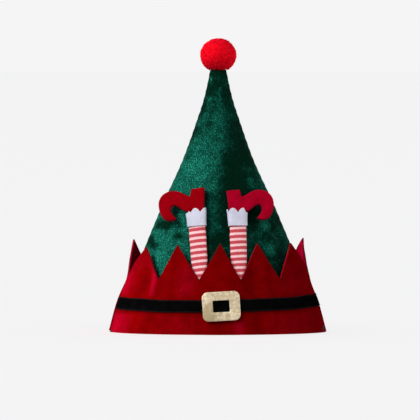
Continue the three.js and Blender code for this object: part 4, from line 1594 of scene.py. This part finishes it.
# %% [markdown]
# ## White cuffs
#
# Each stocking ends in a cuff of white felt with a scalloped upper edge, gathered a little so that it
# stands out in soft flutes. It is one more hoop, built in the leg's own directions. Beside the instep the
# scallops are flattened by the shoe.

# %% Gather the cuffs
CUFF_SECTIONS = [  # height, width, thickness and standoff of the inside
    (58.4, 18.8, 8.0, 1.7),
    (65.6, 19.4, 8.3, 1.6),
    (72.8, 20.8, 8.6, 1.5),
]
CUFF_INSIDE = 0.05
CUFF_OUTSIDE = 0.95
CUFF_ROUNDNESS = 0.5
CUFF_COLUMNS = 200
CUFF_ROWS = 22
SCALLOPS = 5
SCALLOP_RISE = 5
SCALLOP_FULL = 6
SCALLOP_END = 9.6
SCALLOP_SHIFT = {"left": 0.75, "right": 0.25}
TOES = {"left": -1, "right": 1}
FLUTE_DEPTH = 0.2
FLUTE_MEAN = 0.6
CUFF_EDGE_REACH = 0.9
RING_STEPS = 1601


def boxy_ring(width, thickness):
    """An oval with flattened sides, its points evenly spaced."""
    angle = np.linspace(0, 2 * np.pi, RING_STEPS)
    boxy = [np.sign(wave) * np.abs(wave) ** CUFF_ROUNDNESS for wave in (np.cos(angle), np.sin(angle))]
    ring = np.stack((width / 2 * boxy[0], thickness / 2 * boxy[1]), axis=-1)
    length = np.concatenate(([0], np.cumsum(np.linalg.norm(np.diff(ring, axis=0), axis=1))))
    even = np.linspace(0, length[-1], CUFF_COLUMNS, endpoint=False)
    return np.stack([np.interp(even, length, ring[:, axis]) for axis in (0, 1)], axis=-1)


def cuff_face(side, wall):
    """One face of a cuff in the leg's directions, from its hem to the scallops."""
    low, high = CUFF_SECTIONS[0][0], CUFF_SECTIONS[-1][0]
    arch_turns = np.pi * (SCALLOPS * np.arange(CUFF_COLUMNS) / CUFF_COLUMNS + SCALLOP_SHIFT[side])
    rows = []
    for rise in np.linspace(0, 1, CUFF_ROWS):
        level = np.array([low + rise * (high - low)])
        width, thickness, standoff = smooth_table(CUFF_SECTIONS, level)[:, 0]
        flute = -FLUTE_DEPTH * rise * (np.cos(2 * arch_turns) + FLUTE_MEAN)
        ring = boxy_ring(width + 2 * wall, thickness + 2 * wall)
        ring = ring * (1 + flute[:, None] / np.linalg.norm(ring, axis=1, keepdims=True))
        flattened = ease(share_of(TOES[side] * ring[:, 0], SCALLOP_FULL, SCALLOP_END))
        top = level + rise**3 * SCALLOP_RISE * np.abs(np.sin(arch_turns)) * (1 - flattened)
        rows.append(np.stack((ring[:, 0], ring[:, 1] - standoff - thickness / 2, top), axis=-1))
    return np.array(rows)


for side, (origin, directions) in legs.items():
    outer, inner = cuff_face(side, CUFF_OUTSIDE), cuff_face(side, CUFF_INSIDE)
    cuff_edge = share_of(outer[-1:, :, 2] - outer[..., 2], CUFF_EDGE_REACH, 0)
    outer, inner = (origin / MM + face @ directions for face in (outer, inner))
    cuff = cloth_wall(f"felt_cuff_{side}", outer, inner, cut_edge=cuff_edge)
    finish_piece(cuff, cuff_felt, "white_felt", f"cuff_{side}")
    small_pieces.append(cuff)

# %% [markdown]
# ## The shoes
#
# Each shoe is two felt shapes sewn edge to edge, turned and stuffed, with a heel and a toe that curls right
# round. The simulation rounds the flat solid between its edges. The seam along the edge is marked by which
# way the cloth faces: where it faces neither front nor back, it is the edge, and the felt is coloured paler
# there, partly for the seam's loose fibres and partly as a painted rim sheen. The right shoe's nap mark
# adds a little painted light, and the left's a little painted shade.

# %% Stuff the shoes
SHOE_STUFFING = {"voxel": 0.75, "start_inset": 0.15, "most": 0.75}
SHOE_RIM_START = 0.55
SHOE_RIM_FULL = 0.05
# The shoe's edge is paler, partly its own seam fibres and partly a painted rim sheen.
SHOE_RIM_PALE_AND_SHEEN = 0.6
# The right shoe gets a little painted light, the left a little painted shade.
SHOE_PAINTED_SHADING = {"left": -0.12, "right": 0.18}

for side, (_, directions) in legs.items():
    shoe = stuff(f"padded_shoe_{side}", f"shoe_{side}", **SHOE_STUFFING)
    facing = np.abs(points_of(shoe.data, "normal") @ directions[1])
    mark(shoe, "cut_edge", SHOE_RIM_PALE_AND_SHEEN * share_of(facing, SHOE_RIM_START, SHOE_RIM_FULL))
    mark(shoe, "nap", np.full(len(facing), SHOE_PAINTED_SHADING[side]))
    finish_piece(shoe, shoe_felt, "shoe_felt", f"shoe_{side}")
    small_pieces.append(shoe)

# %% [markdown]
# ## A light for the small things
#
# The key light leaves the small pieces in front a little dark, because they stand on a cone that turns away
# from it. A photographer would hold a small reflector in front of them. Here that is one more soft lamp
# that shines only on the legs, cuffs, shoes, buckle and pompom. A lamp overhead does the same for the brim,
# because the crown hides its far points from the key light.

# %% Hang the reflector
REFLECTOR = {
    "place": (0.95, -1.15, 0.4),
    "aim": (0, 0, 0.15),
    "strength": 8,
    "colour": WARM_WHITE,
    "size": 0.5,
}
OVERHEAD = {
    "place": (-0.62, 0.05, 1.15),
    "aim": (0, 0, 0.1),
    "strength": 19,
    "colour": (1, 0.98, 0.9),
    "size": 0.4,
}

link_light(hang_light("reflector", **REFLECTOR), small_pieces, "INCLUDE")
link_light(hang_light("overhead_light", **OVERHEAD), [brim], "INCLUDE")
print("reflector lights", len(small_pieces), "pieces")

# %% [markdown]
# ## What each cloth was cut from
#
# A sheet of cloth keeps its area however it is sewn. The crown's two panels are tall triangles, the brim
# is a strip with points cut out of it, and the belt is a plain strip.

print("sheets: the crown panels, the brim strip and the belt strip")

# %% [markdown]
# ## Print the sizes
#
# The dressed hat must not be bigger than its solids, apart from a little fluff. Both boxes are printed, so
# that they can be compared after each change.

# %% Print the sizes and finish
boxes = {"solids": solid_box, "dressed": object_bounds()}
for name, (low, high) in boxes.items():
    print(name, [round(value / MM, 1) for value in high - low], "mm")
